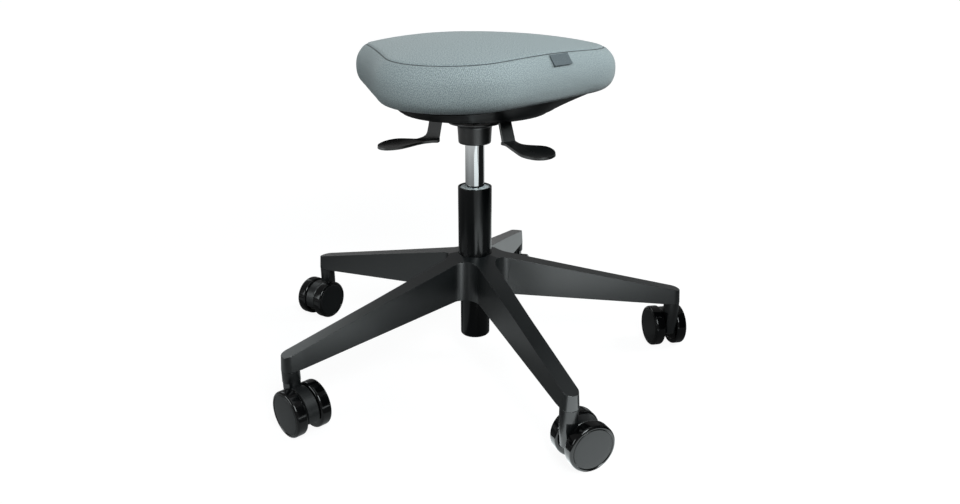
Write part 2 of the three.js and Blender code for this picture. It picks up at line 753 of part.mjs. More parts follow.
function leverSolid(armEnd) {
  const bendFoot = leverBendReach + leverDropLean;
  const paddleTip = bendFoot + paddleLength;
  const lowLevel = tiltAxisHeight - leverDrop;
  const side = stripOutline([
    new THREE.Vector2(armEnd, tiltAxisHeight), new THREE.Vector2(leverBendReach, tiltAxisHeight),
    new THREE.Vector2(bendFoot, lowLevel), new THREE.Vector2(paddleTip, lowLevel - paddleFall),
  ], leverThickness);
  const strip = prism(side, -paddleHalfWidth, paddleHalfWidth).rotate([90, 0, 0]);
  const plan = new THREE.Shape();
  const roundCentre = paddleTip - paddleRoundLength;
  const bracketEnd = leverPivotReach - bracketHalfLength;
  const quarter = Math.PI / 2;
  plan.moveTo(armEnd, -leverArmHalfWidth);
  plan.lineTo(bracketEnd, -leverArmHalfWidth);
  plan.lineTo(leverPivotReach, -leverHalfWidth);
  plan.lineTo(bendFoot, -leverHalfWidth);
  plan.bezierCurveTo((bendFoot + roundCentre) / 2, -leverHalfWidth,
    (bendFoot + roundCentre) / 2, -paddleHalfWidth, roundCentre, -paddleHalfWidth);
  plan.absellipse(roundCentre, 0, paddleRoundLength, paddleHalfWidth, -quarter, quarter, false, 0);
  plan.bezierCurveTo((bendFoot + roundCentre) / 2, paddleHalfWidth,
    (bendFoot + roundCentre) / 2, leverHalfWidth, bendFoot, leverHalfWidth);
  plan.lineTo(leverPivotReach, leverHalfWidth);
  plan.lineTo(bracketEnd, leverArmHalfWidth);
  plan.lineTo(armEnd, leverArmHalfWidth);
  plan.closePath();
  const outline = prism(plan, lowLevel - paddleFall - overrun - leverThickness, tiltAxisHeight + overrun);
  const eye = alongY(rod(leverPinRadius + leverEyeWall, -leverArmHalfWidth, leverArmHalfWidth, pinSides));
  const solid = strip.intersect(outline).add(eye.translate([leverPivotReach, 0, tiltAxisHeight]));
  return solid.subtract(leverPinSolid(fitGap, overrun));
}

function leverGroup(name, angle, armEnd) {
  const group = new THREE.Group();
  group.rotation.z = angle;
  group.add(piece(`${name}_lever`, leverSolid(armEnd), leverFinish()));
  group.add(piece(`${name}_lever_pin`, leverPinSolid(0, 0), steelFinish()));
  return group;
}

// Seat: the three-cornered outline has round corners and sides that are arcs touching them, bulging or hollow
function seatArcs() {
  const bulge = seatSideReach - seatCornerRadius;
  const sideCentre = (seatCornerReach ** 2 - bulge ** 2) / (2 * bulge - seatCornerReach);
  const sideRadius = seatSideReach + sideCentre;
  const halfStep = Math.PI / seatCorners;
  const turn = Math.sign(sideCentre);
  const acrossX = turn * (seatCornerReach + sideCentre * Math.cos(halfStep));
  const acrossY = turn * sideCentre * Math.sin(halfStep);
  return { sideCentre, sideRadius, halfSweep: Math.atan2(acrossY, acrossX) };
}

// A point of the arc that follows a corner, at a share of the way along it, and the way it faces
function seatSidePoint(corner, share, inset) {
  const { sideCentre, sideRadius, halfSweep } = seatArcs();
  const halfStep = Math.PI / seatCorners;
  const bearing = seatCornerAngle + 2 * halfStep * corner;
  const normal = bearing + halfSweep + 2 * (halfStep - halfSweep) * share;
  const x = -sideCentre * Math.cos(bearing + halfStep) + (sideRadius - inset) * Math.cos(normal);
  const y = -sideCentre * Math.sin(bearing + halfStep) + (sideRadius - inset) * Math.sin(normal);
  return { x, y, normal };
}

// The same for the flat facet that the cushion has there in place of the arc
function seatFacetPoint(corner, share, inset) {
  const facet = Math.floor(share * sideDivisions);
  const start = seatSidePoint(corner, facet / sideDivisions, inset);
  const end = seatSidePoint(corner, (facet + 1) / sideDivisions, inset);
  const along = share * sideDivisions - facet;
  return {
    x: start.x + (end.x - start.x) * along,
    y: start.y + (end.y - start.y) * along,
    normal: (start.normal + end.normal) / 2,
  };
}

// The outline's points at an inset, each corner's arc first and then the side that follows it
function seatRing(inset) {
  const { halfSweep } = seatArcs();
  const points = [];
  for (let corner = 0; corner < seatCorners; corner += 1) {
    const bearing = seatCornerAngle + corner * 2 * Math.PI / seatCorners;
    for (let index = 0; index < cornerDivisions; index += 1) {
      const normal = bearing - halfSweep + 2 * halfSweep * index / cornerDivisions;
      const radius = seatCornerRadius - inset;
      points.push([
        seatCornerReach * Math.cos(bearing) + radius * Math.cos(normal),
        seatCornerReach * Math.sin(bearing) + radius * Math.sin(normal),
      ]);
    }
    for (let index = 0; index < sideDivisions; index += 1) {
      const { x, y } = seatSidePoint(corner, index / sideDivisions, inset);
      points.push([x, y]);
    }
  }
  return points;
}

// A ring part of the way from a circle out to the outline at an inset
function bowlRing(radius, inset, share) {
  return seatRing(inset).map(([x, y]) => {
    const round = radius / Math.hypot(x, y);
    const scale = round + (1 - round) * share;
    return [x * scale, y * scale];
  });
}

// A closed skin over rings of { points, height }, from the lowest up, with a middle point at both ends
function loft(rings, middleTop) {
  const count = rings[0].points.length;
  const positions = [0, 0, rings[0].height];
  const indices = [];
  for (const { points, height } of rings) {
    for (const [x, y] of points) {
      positions.push(x, y, height);
    }
  }
  positions.push(0, 0, middleTop);
  const last = 1 + rings.length * count;
  for (let index = 0; index < count; index += 1) {
    const next = (index + 1) % count;
    indices.push(0, 1 + next, 1 + index);
    for (let ring = 0; ring < rings.length - 1; ring += 1) {
      const low = 1 + ring * count;
      const high = low + count;
      indices.push(low + index, low + next, high + next);
      indices.push(low + index, high + next, high + index);
    }
    indices.push(last, last - count + index, last - count + next);
  }
  const geometry = new THREE.BufferGeometry();
  geometry.setAttribute('position', new THREE.Float32BufferAttribute(positions, 3));
  geometry.setIndex(indices);
  return solidFrom(geometry);
}

// The shell's hollow: its floor is round and its rim follows the seat's outline
function shellHollowRing(height, clearance) {
  const floor = shellFloor + shellWall;
  const share = (height - floor) / (shellRim - floor);
  const radius = shellFloorRadius - shellWall - clearance;
  return { points: bowlRing(radius, shellRimInset + shellRimWidth + clearance, share), height };
}

function bottomShell() {
  const outside = loft([
    { points: bowlRing(shellFloorRadius, shellRimInset, 0), height: shellFloor },
    { points: seatRing(shellRimInset), height: shellRim },
  ], shellRim);
  const hollowTop = shellRim + overrun;
  const hollowHeights = [shellFloor + shellWall, boardUnderside, shellRim, hollowTop];
  const inside = loft(hollowHeights.map((height) => shellHollowRing(height, 0)), hollowTop);
  const opening = rod(shellOpeningRadius, shellFloor - overrun, shellFloor + shellWall + overrun);
  return piece('bottom_shell', outside.subtract(inside).subtract(opening), shellFinish());
}

function seatBoard() {
  let solid = loft([
    shellHollowRing(boardUnderside, boardClearance), shellHollowRing(boardTop, boardClearance),
  ], boardTop);
  const hole = rod(boltRadius + fitGap, boardUnderside - overrun, plateTop + boltGrip + fitGap, pinSides);
  for (const place of boltPlaces()) {
    solid = solid.subtract(hole.translate(place));
  }
  return piece('seat_board', solid, boardFinish());
}

// The cushion's side, from its drawn-in foot out to the widest level and in again to the seam
function cushionSideInset(height) {
  if (height < cushionWidest) {
    const share = (cushionWidest - height) / cushionSideHeight;
    return cushionFootInset * (1 - (1 - share ** cushionSidePower) ** (1 / cushionSidePower));
  }
  const share = (height - cushionWidest) / cushionSeamRise;
  return cushionSeamInset * share * share;
}

function cushion() {
  const rings = [];
  const addRing = (inset, height, scale = 1) => {
    rings.push({ points: seatRing(inset).map(([x, y]) => [x * scale, y * scale]), height });
  };
  for (let index = 0; index <= cushionSideRings; index += 1) {
    const angle = (index / cushionSideRings) * Math.PI / 2;
    const height = cushionUnderside + cushionSideHeight * (1 - Math.cos(angle));
    addRing(cushionSideInset(height), height);
  }
  const halfSeam = cushionSeamWidth / 2;
  for (const share of cushionUpperShares) {
    const height = cushionWidest + (cushionSeamRise - halfSeam) * share;
    addRing(cushionSideInset(height), height);
  }
  const crownInset = cushionSeamInset + cushionSeamGroove / 2;
  addRing(cushionSeamInset - halfSeam / 2, cushionSeam - halfSeam);
  addRing(cushionSeamInset + cushionSeamGroove, cushionSeam);
  addRing(crownInset, cushionSeam + halfSeam);
  for (let index = 1; index <= cushionCrownRings; index += 1) {
    const scale = Math.cos((index / (cushionCrownRings + 1)) * Math.PI / 2);
    addRing(crownInset, cushionSeam + halfSeam + cushionCrown * (1 - scale ** cushionCrownPower), scale);
  }
  return piece('cushion', loft(rings, cushionSeam + halfSeam + cushionCrown), fabricFinish());
}

// The blank tab hanging from under the seam against the cushion's side
function labelTab() {
  const top = cushionSeam - tabBelowSeam;
  const topPlace = seatFacetPoint(0, tabSideShare, cushionSideInset(top) - tabStandOff);
  const fall = cushionSideInset(top) - cushionSideInset(top - tabHeight);
  const geometry = new THREE.BoxGeometry(tabThickness, tabWidth, tabHeight);
  geometry.translate(tabThickness / 2, 0, -tabHeight / 2);
  geometry.rotateY(-Math.atan2(fall, tabHeight));
  geometry.rotateZ(topPlace.normal);
  geometry.translate(topPlace.x, topPlace.y, top);
  return piece('label_tab', solidFrom(geometry), tabFinish());
}

function seatBolts() {
  const low = plateUnderside - fitGap - boltHeadHeight;
  const solid = turned([
    [0, low], [boltHeadRadius, low], [boltHeadRadius, low + boltHeadHeight], [boltRadius, low + boltHeadHeight],
    [boltRadius, plateTop + boltGrip], [0, plateTop + boltGrip],
  ], pinSides);
  return boltPlaces().map((place, index) => piece(`seat_bolt_${index + 1}`, solid.translate(place), steelFinish()));
}

// What tilts on the mechanism, made level and then leant about the tilt axis
function leaningSeat() {
  const level = new THREE.Group();
  level.position.z = -tiltAxisHeight;
  level.add(tiltPivotPin('tilt_pivot_pin_left', -1), tiltPivotPin('tilt_pivot_pin_right', 1));
  level.add(seatPlate(), leverGroup('height', heightLeverAngle, -heightLeverOvershoot));
  level.add(leverGroup('tilt', tiltLeverAngle, tiltLeverArmEnd));
  level.add(bottomShell(), seatBoard(), cushion(), labelTab(), ...seatBolts());
  const leaning = new THREE.Group();
  leaning.position.z = tiltAxisHeight;
  leaning.rotation.x = seatLean;
  leaning.add(level);
  return leaning;
}

// The whole stool
function perchStool() {
  const stool = new THREE.Group();
  stool.name = 'perch_stool';
  stool.add(starBase(), columnTube(), guideBush());
  for (let index = 0; index < legCount; index += 1) {
    stool.add(caster(index));
  }
  const washer = (name, top) => piece(
    name, tube(rodNeckRadius + 2 * fitGap, washerRadius, top - washerThickness, top), steelFinish(),
  );
  stool.add(washer('bearing_lower_washer', lowerWasherTop), ballCage());
  stool.add(washer('bearing_upper_washer', upperWasherTop), pistonRod(), retainingClip());
  const bumper = tube(rodRadius + fitGap, bumperRadius, rodShoulder, rodShoulder + bumperHeight);
  stool.add(piece('stop_bumper', bumper, rubberFinish()));
  stool.add(gasCylinder(), rodSeal(), releasePin(), mechanismHousing(), leaningSeat());
  return stool;
}

// The origin is the middle of the footprint on the floor
const stool = perchStool();
stool.updateMatrixWorld(true);
const bounds = new THREE.Box3().setFromObject(stool, true);
const middle = bounds.getCenter(new THREE.Vector3());
stool.position.set(-middle.x, -middle.y, -bounds.min.z);
stool.updateMatrixWorld(true);

export default stool;
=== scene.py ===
"""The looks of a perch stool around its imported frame: padded seat, paddles, gas column and star base on casters."""

import logging
import math
from dataclasses import dataclass, field
from enum import Enum
from typing import Callable, Sequence

import bmesh
import bpy
from mathutils import Matrix, Vector


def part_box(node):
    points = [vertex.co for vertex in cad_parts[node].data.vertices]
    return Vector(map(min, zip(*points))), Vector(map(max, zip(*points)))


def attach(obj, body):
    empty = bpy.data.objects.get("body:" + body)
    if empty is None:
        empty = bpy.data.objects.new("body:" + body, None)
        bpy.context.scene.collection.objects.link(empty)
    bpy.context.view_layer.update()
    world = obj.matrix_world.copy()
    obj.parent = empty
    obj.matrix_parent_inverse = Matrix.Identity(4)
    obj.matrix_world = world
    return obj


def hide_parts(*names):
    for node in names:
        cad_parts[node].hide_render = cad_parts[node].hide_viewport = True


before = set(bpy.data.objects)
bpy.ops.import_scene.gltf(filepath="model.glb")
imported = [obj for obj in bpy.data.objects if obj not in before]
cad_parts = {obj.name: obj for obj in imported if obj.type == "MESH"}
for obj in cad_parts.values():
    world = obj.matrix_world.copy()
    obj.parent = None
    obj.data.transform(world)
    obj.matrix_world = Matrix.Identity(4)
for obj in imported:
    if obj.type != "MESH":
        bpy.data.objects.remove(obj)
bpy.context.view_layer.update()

LOG = logging.getLogger("perch_stool")
Profile = Sequence[tuple[float, float]]
Color = tuple[float, float, float]

# Shared sizes in millimetres, as the solids have them, with heights over the floor
COLUMN_LINE = (6.345, -11.963)
AXLE_HEIGHT = 32.0
NECK_TOP = 81.8
LEG_UNDERSIDE = 82.0
HUB_TOP = 172.6
HUB_UNDERSIDE = 108.0
COLUMN_FOOT = 38.0
COLUMN_TOP = 276.6
SOCKET_FOOT = 340.6
SOCKET_TOP = 367.6
HOUSING_TOP = 373.0
TILT_AXIS = 382.0
SHELL_FLOOR = 389.0
SHELL_RIM = 414.6
CUSHION_UNDERSIDE = 414.9
CUSHION_WIDEST = 446.4
CUSHION_SEAM = 475.8
LEG_COUNT = 5
LEG_ANGLES = tuple(math.radians(18 + 72 * index) for index in range(LEG_COUNT))
CASTER_CIRCLE = 313.0
SEAT_LEAN = math.radians(1.15)
MILLIMETRE = 0.001
SOFT_CREASE = 90

ON_COLUMN = Matrix.Translation((*COLUMN_LINE, 0))
ON_SEAT = (
    ON_COLUMN
    @ Matrix.Translation((0, 0, TILT_AXIS))
    @ Matrix.Rotation(SEAT_LEAN, 4, "X")
    @ Matrix.Translation((0, 0, -TILT_AXIS))
)


class Join(Enum):
    """How one closed mesh is combined with another."""

    ADD = "UNION"
    CUT = "DIFFERENCE"
    KEEP = "INTERSECT"


def closed_up(mesh: bmesh.types.BMesh) -> bmesh.types.BMesh:
    """Merges doubled vertices and turns every face outwards.

    Args:
        mesh: The mesh to tidy, in millimetres.

    Returns:
        The same mesh.
    """
    bmesh.ops.remove_doubles(mesh, verts=mesh.verts, dist=0.002)
    bmesh.ops.dissolve_degenerate(mesh, edges=mesh.edges, dist=0.001)
    bmesh.ops.recalc_face_normals(mesh, faces=mesh.faces)
    return mesh


def lathe(profile: Profile, steps: int, ring: bool = False) -> bmesh.types.BMesh:
    """Turns a profile of (radius, height) about the Z axis.

    Args:
        profile: Points from the lowest end to the highest.
        steps: How many steps the full turn has.
        ring: Whether the last point joins the first.

    Returns:
        A closed mesh.
    """
    mesh = bmesh.new()
    points = [mesh.verts.new((radius, 0, height)) for radius, height in profile]
    pairs = list(zip(points, points[1:]))
    if ring:
        pairs.append((points[-1], points[0]))
    edges = [mesh.edges.new(pair) for pair in pairs]
    bmesh.ops.spin(
        mesh, geom=points + edges, axis=(0, 0, 1), cent=(0, 0, 0),
        angle=2 * math.pi, steps=steps, use_merge=True,
    )
    return closed_up(mesh)


def block(low: Sequence[float], high: Sequence[float]) -> bmesh.types.BMesh:
    """Makes a box from its lowest to its highest corner.

    Args:
        low: The lowest corner.
        high: The highest corner.

    Returns:
        A closed mesh.
    """
    mesh = bmesh.new()
    size = [b - a for a, b in zip(low, high)]
    middle = [(a + b) / 2 for a, b in zip(low, high)]
    bmesh.ops.create_cube(mesh, size=1, matrix=Matrix.Translation(middle) @ Matrix.Diagonal((*size, 1)))
    return mesh


def soften(
    mesh: bmesh.types.BMesh,
    width: float,
    segments: int = 2,
    angle: float = 30,
    chosen: Callable[[bmesh.types.BMEdge], bool] | None = None,
) -> bmesh.types.BMesh:
    """Rounds the edges that turn by more than an angle.

    Args:
        mesh: The mesh.
        width: The bevel's width.
        segments: How many faces the round has.
        angle: The least turn, in degrees.
        chosen: A further test that an edge passes.

    Returns:
        The same mesh.
    """
    limit = math.radians(angle)
    edges = [
        edge for edge in mesh.edges
        if len(edge.link_faces) == 2 and edge.calc_face_angle(0) > limit and (chosen is None or chosen(edge))
    ]
    bmesh.ops.bevel(
        mesh, geom=edges, offset=width, offset_type="OFFSET", segments=segments,
        profile=0.5, affect="EDGES", clamp_overlap=True, material=-1,
    )
    return mesh


def scratch_object(mesh: bmesh.types.BMesh, name: str) -> bpy.types.Object:
    """Puts a mesh in the scene for a modifier to work on."""
    data = bpy.data.meshes.new(name)
    mesh.to_mesh(data)
    mesh.free()
    thing = bpy.data.objects.new(name, data)
    bpy.context.scene.collection.objects.link(thing)
    return thing


def taken_back(thing: bpy.types.Object) -> bmesh.types.BMesh:
    """Reads an object with its modifiers applied into a mesh, and removes the object."""
    graph = bpy.context.evaluated_depsgraph_get()
    mesh = bmesh.new()
    mesh.from_mesh(thing.evaluated_get(graph).to_mesh())
    drop(thing)
    return mesh


def drop(thing: bpy.types.Object) -> None:
    """Removes an object and its mesh."""
    data = thing.data
    bpy.data.objects.remove(thing)
    bpy.data.meshes.remove(data)


def combined(mesh: bmesh.types.BMesh, other: bmesh.types.BMesh, how: Join) -> bmesh.types.BMesh:
    """Combines two closed meshes into one.

    Args:
        mesh: The mesh that is kept.
        other: The mesh that is added to it, cut from it or laid over it.
        how: Which of these.

    Returns:
        A new closed mesh.
    """
    first = scratch_object(mesh, "first")
    second = scratch_object(other, "second")
    step = first.modifiers.new("step", "BOOLEAN")
    step.operation = how.value
    step.solver = "EXACT"
    step.object = second
    result = taken_back(first)
    drop(second)
    return closed_up(result)


def along_y(mesh: bmesh.types.BMesh) -> bmesh.types.BMesh:
    """Lays a turned mesh with its axis along Y."""
    mesh.transform(Matrix.Rotation(-math.pi / 2, 4, "X"))
    return mesh


def along_x(mesh: bmesh.types.BMesh) -> bmesh.types.BMesh:
    """Lays a turned mesh with its axis along X."""
    mesh.transform(Matrix.Rotation(math.pi / 2, 4, "Y"))
    return mesh


def arc(center: Sequence[float], radius: float, start: float, stop: float, steps: int) -> list[Vector]:
    """Gives the points of an arc in the XY plane.

    Args:
        center: The arc's centre.
        radius: Its radius.
        start: The first point's angle.
        stop: The last point's angle.
        steps: How many steps lie between them.

    Returns:
        The points, both ends included.
    """
    angles = [start + (stop - start) * index / steps for index in range(steps + 1)]
    return [Vector((center[0] + radius * math.cos(a), center[1] + radius * math.sin(a), 0)) for a in angles]


def skin(rings: Sequence[Sequence[Vector]], cap_first: bool = False, cap_last: bool = False) -> bmesh.types.BMesh:
    """Bridges closed rings of equal count into one surface.

    Args:
        rings: The rings in order.
        cap_first: Whether the first ring is filled.
        cap_last: Whether the last ring is filled.

    Returns:
        The mesh, open where it isn't capped.
    """
    mesh = bmesh.new()
    loops = []
    for ring in rings:
        points = [mesh.verts.new(point) for point in ring]
        loops.append([mesh.edges.new(pair) for pair in zip(points, points[1:] + points[:1])])
    for low, high in zip(loops, loops[1:]):
        bmesh.ops.bridge_loops(mesh, edges=low + high)
    for wanted, loop in ((cap_first, loops[0]), (cap_last, loops[-1])):
        if wanted:
            bmesh.ops.triangle_fill(mesh, use_beauty=True, edges=loop)
    bmesh.ops.recalc_face_normals(mesh, faces=mesh.faces)
    return mesh


@dataclass(frozen=True)
class Share:
    """Where a piece belongs: the body that it rides on, the nodes it stands for and its material slot."""

    body: str
    nodes: tuple[str, ...]
    slot: str


def keep(
    mesh: bmesh.types.BMesh,
    name: str,
    share: Share,
    materials: Sequence[bpy.types.Material],
    place: Matrix,
    crease: float = 32,
) -> bpy.types.Object:
    """Turns a finished mesh in millimetres into a piece of the stool.

    Args:
        mesh: The mesh, about its own sub-assembly's frame.
        name: The piece's name.
        share: The body, nodes and slot.
        materials: The materials, by face index.
        place: Where the sub-assembly stands.
        crease: Edges that turn by more degrees than this stay sharp.

    Returns:
        The piece, with its place in its mesh.
    """
    mesh.transform(Matrix.Scale(MILLIMETRE, 4) @ place)
    data = bpy.data.meshes.new(name)
    mesh.to_mesh(data)
    mesh.free()
    for material in materials:
        data.materials.append(material)
    data.shade_smooth()
    data.set_sharp_from_angle(angle=math.radians(crease))
    piece = bpy.data.objects.new(name, data)
    bpy.context.scene.collection.objects.link(piece)
    if crease < SOFT_CREASE:
        even = piece.modifiers.new("even_faces", "WEIGHTED_NORMAL")
        even.keep_sharp = True
    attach(piece, share.body)
    if share.nodes:
        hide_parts(*share.nodes)
    LOG.info("%s: %d faces", name, len(data.polygons))
    return piece


class Shader:
    """Adds and joins the nodes of a material or a node group."""

    def __init__(self, tree: bpy.types.NodeTree) -> None:
        """Keeps the tree that the nodes go into."""
        self.tree = tree

    def node(self, kind: str, inputs: dict | None = None, **values: object) -> bpy.types.Node:
        """Adds a node.

        Args:
            kind: The node's type name.
            inputs: Values or output sockets by input name or number.
            **values: The node's own settings.

        Returns:
            The node.
        """
        made = self.tree.nodes.new(kind)
        for key, value in values.items():
            setattr(made, key, value)
        for key, value in (inputs or {}).items():
            if isinstance(value, bpy.types.NodeSocket):
                self.tree.links.new(value, made.inputs[key])
            else:
                made.inputs[key].default_value = value
        return made

    def math(self, operation: str, *values: object) -> bpy.types.NodeSocket:
        """Adds a Math node and gives its result."""
        return self.node("ShaderNodeMath", dict(enumerate(values)), operation=operation).outputs[0]

    def ramp(self, value: bpy.types.NodeSocket, low: float, high: float, out: tuple[float, float]) -> bpy.types.NodeSocket:
        """Maps a value's range onto another smoothly.

        Args:
            value: The value.
            low: Where the first result holds.
            high: Where the second result holds.
            out: The two results.

        Returns:
            The mapped value.
        """
        inputs = {"Value": value, "From Min": low, "From Max": high, "To Min": out[0], "To Max": out[1]}
        return self.node("ShaderNodeMapRange", inputs, interpolation_type="SMOOTHSTEP").outputs["Result"]

    def mix(self, share: bpy.types.NodeSocket, first: Color, second: Color) -> bpy.types.NodeSocket:
        """Mixes two colours by a share.

        Args:
            share: How much of the second colour shows.
            first: The first colour.
            second: The second colour.

        Returns:
            The mixed colour.
        """
        made = self.node("ShaderNodeMix", {"Factor": share}, data_type="RGBA")
        sockets = [socket for socket in made.inputs if socket.type == "RGBA"]
        sockets[0].default_value = (*first, 1)
        sockets[1].default_value = (*second, 1)
        return [socket for socket in made.outputs if socket.type == "RGBA"][0]


def node_group(
    name: str,
    inputs: Sequence[tuple[str, str, object]],
    outputs: Sequence[tuple[str, str]],
    build: Callable[[Shader, bpy.types.Node], dict[str, bpy.types.NodeSocket]],
) -> bpy.types.NodeTree:
    """Makes a shader node group once and gives it again afterwards.

    Args:
        name: The group's name.
        inputs: Each input's name, socket type and first value.
        outputs: Each output's name and socket type.
        build: Makes the nodes and gives the socket for each output.

    Returns:
        The group.
    """
    if name in bpy.data.node_groups:
        return bpy.data.node_groups[name]
    tree = bpy.data.node_groups.new(name, "ShaderNodeTree")
    for label, kind, value in inputs:
        socket = tree.interface.new_socket(label, in_out="INPUT", socket_type=kind)
        if value is not None:
            socket.default_value = value
    for label, kind in outputs:
        tree.interface.new_socket(label, in_out="OUTPUT", socket_type=kind)
    shader = Shader(tree)
    entry = shader.node("NodeGroupInput")
    results = build(shader, entry)
    shader.node("NodeGroupOutput", results)
    return tree


def grain_group() -> bpy.types.NodeTree:
    """A fine moulded or powder-coated grain with slow patches of tone and a little dust."""

    def build(shader: Shader, entry: bpy.types.Node) -> dict[str, bpy.types.NodeSocket]:
        """Makes the grain's nodes."""
        vector, scale = entry.outputs["Vector"], entry.outputs["Scale"]
        fine = shader.node("ShaderNodeTexNoise", {"Vector": vector, "Scale": scale, "Detail": 3.0, "Roughness": 0.6})
        slow = shader.node("ShaderNodeTexNoise", {"Vector": vector, "Scale": 14.0, "Detail": 2.0})
        specks = shader.node("ShaderNodeTexVoronoi", {"Vector": vector, "Scale": shader.math("MULTIPLY", scale, 0.35)})
        dust = shader.ramp(specks.outputs["Distance"], 0.0, 0.12, (1.0, 0.0))
        patch = shader.ramp(slow.outputs["Fac"], 0.35, 0.65, (0.0, 1.0))
        return {"Height": fine.outputs["Fac"], "Patches": patch, "Dust": shader.math("MULTIPLY", dust, patch)}

    return node_group(
        "surface_grain",
        [("Vector", "NodeSocketVector", None), ("Scale", "NodeSocketFloat", 900.0)],
        [("Height", "NodeSocketFloat"), ("Patches", "NodeSocketFloat"), ("Dust", "NodeSocketFloat")],
        build,
    )


def weave_group() -> bpy.types.NodeTree:
    """A plain weave of warp and weft threads with uneven yarn."""

    def build(shader: Shader, entry: bpy.types.Node) -> dict[str, bpy.types.NodeSocket]:
        """Makes the weave's nodes."""
        pitch = entry.outputs["Pitch"]
        uneven = shader.node("ShaderNodeTexNoise", {"Vector": entry.outputs["Vector"], "Scale": 160.0, "Detail": 2.0})
        parts = shader.node("ShaderNodeSeparateXYZ", {"Vector": entry.outputs["Vector"]})
        turns = []
        for axis in ("X", "Y"):
            count = shader.math("DIVIDE", parts.outputs[axis], pitch)
            wander = shader.math("MULTIPLY", shader.math("SUBTRACT", uneven.outputs["Fac"], 0.5), 1.4)
            turns.append(shader.math("MULTIPLY", shader.math("ADD", count, wander), math.pi))
        warp = shader.math("ABSOLUTE", shader.math("SINE", turns[0]))
        weft = shader.math("ABSOLUTE", shader.math("SINE", turns[1]))
        over = shader.math("SINE", shader.math("ADD", turns[0], turns[1]))
        side = shader.ramp(over, -0.25, 0.25, (0.0, 1.0))
        blend = shader.node("ShaderNodeMix", {"Factor": side, "A": warp, "B": weft}, data_type="FLOAT")
        fleck = shader.node("ShaderNodeTexNoise", {"Vector": entry.outputs["Vector"], "Scale": 620.0, "Detail": 1.0})
        flecks = shader.math("MULTIPLY", shader.ramp(fleck.outputs["Fac"], 0.35, 0.65, (0.0, 1.0)), 0.6)
        tone = shader.math("ADD", shader.math("MULTIPLY", blend.outputs[0], 0.4), flecks)
        return {"Height": blend.outputs[0], "Tone": tone, "Yarn": uneven.outputs["Fac"]}

    return node_group(
        "plain_weave",
        [("Vector", "NodeSocketVector", None), ("Pitch", "NodeSocketFloat", 0.0012)],
        [("Height", "NodeSocketFloat"), ("Tone", "NodeSocketFloat"), ("Yarn", "NodeSocketFloat")],
        build,
    )


@dataclass(frozen=True)
class Finish:
    """A coated, moulded or plated finish with a fine grain."""

    name: str
    color: Color
    worn: Color
    roughness: float
    metallic: float = 0.0
    coat: float = 0.0
    coat_roughness: float = 0.1
    specular: float = 0.5
    grain_scale: float = 900.0
    grain_depth: float = 0.00003
    roughness_spread: float = 0.08
    dust: float = 0.06

    def material(self) -> bpy.types.Material:
        """Makes the finish's material, or gives it again.

        Returns:
            The material.
        """
        if self.name in bpy.data.materials:
            return bpy.data.materials[self.name]
        made = bpy.data.materials.new(self.name)
        made.use_nodes = True
        made.node_tree.nodes.clear()
        shader = Shader(made.node_tree)
        place = shader.node("ShaderNodeTexCoord").outputs["Object"]
        grain = shader.node("ShaderNodeGroup", {}, node_tree=grain_group())
        made.node_tree.links.new(place, grain.inputs["Vector"])
        grain.inputs["Scale"].default_value = self.grain_scale
        shade = shader.math("MULTIPLY", grain.outputs["Patches"], 0.35)
        shade = shader.math("ADD", shade, shader.math("MULTIPLY", grain.outputs["Dust"], self.dust))
        color = shader.mix(shade, self.color, self.worn)
        rough = shader.ramp(
            grain.outputs["Patches"], 0.0, 1.0,
            (self.roughness - self.roughness_spread / 2, self.roughness + self.roughness_spread / 2),
        )
        bump = shader.node("ShaderNodeBump", {"Height": grain.outputs["Height"], "Distance": self.grain_depth, "Strength": 1.0})
        surface = shader.node("ShaderNodeBsdfPrincipled", {
            "Base Color": color, "Roughness": rough, "Metallic": self.metallic, "Normal": bump.outputs["Normal"],
            "Coat Weight": self.coat, "Coat Roughness": self.coat_roughness, "Specular IOR Level": self.specular,
        })
        shader.node("ShaderNodeOutputMaterial", {"Surface": surface.outputs[0]})
        return made


@dataclass(frozen=True)
class PlatedFinish(Finish):
    """A polished or brushed metal with fine drawn lines round its axis."""

    line_depth: float = 0.000004

    def material(self) -> bpy.types.Material:
        """Makes the plated material, or gives it again.

        Returns:
            The material.
        """
        if self.name in bpy.data.materials:
            return bpy.data.materials[self.name]
        made = bpy.data.materials.new(self.name)
        made.use_nodes = True
        made.node_tree.nodes.clear()
        shader = Shader(made.node_tree)
        place = shader.node("ShaderNodeTexCoord").outputs["Object"]
        stretched = shader.node("ShaderNodeMapping", {"Vector": place, "Scale": (6.0, 6.0, 900.0)})
        lines = shader.node("ShaderNodeTexNoise", {"Vector": stretched.outputs[0], "Scale": 1.0, "Detail": 2.0})
        haze = shader.node("ShaderNodeTexNoise", {"Vector": place, "Scale": 22.0, "Detail": 3.0})
        color = shader.mix(shader.ramp(haze.outputs["Fac"], 0.3, 0.7, (0.0, 0.4)), self.color, self.worn)
        rough = shader.ramp(
            haze.outputs["Fac"], 0.3, 0.75, (self.roughness, self.roughness + self.roughness_spread),
        )
        bump = shader.node("ShaderNodeBump", {"Height": lines.outputs["Fac"], "Distance": self.line_depth, "Strength": 1.0})
        surface = shader.node("ShaderNodeBsdfPrincipled", {
            "Base Color": color, "Roughness": rough, "Metallic": self.metallic, "Normal": bump.outputs["Normal"],
        })
        shader.node("ShaderNodeOutputMaterial", {"Surface": surface.outputs[0]})
        return made


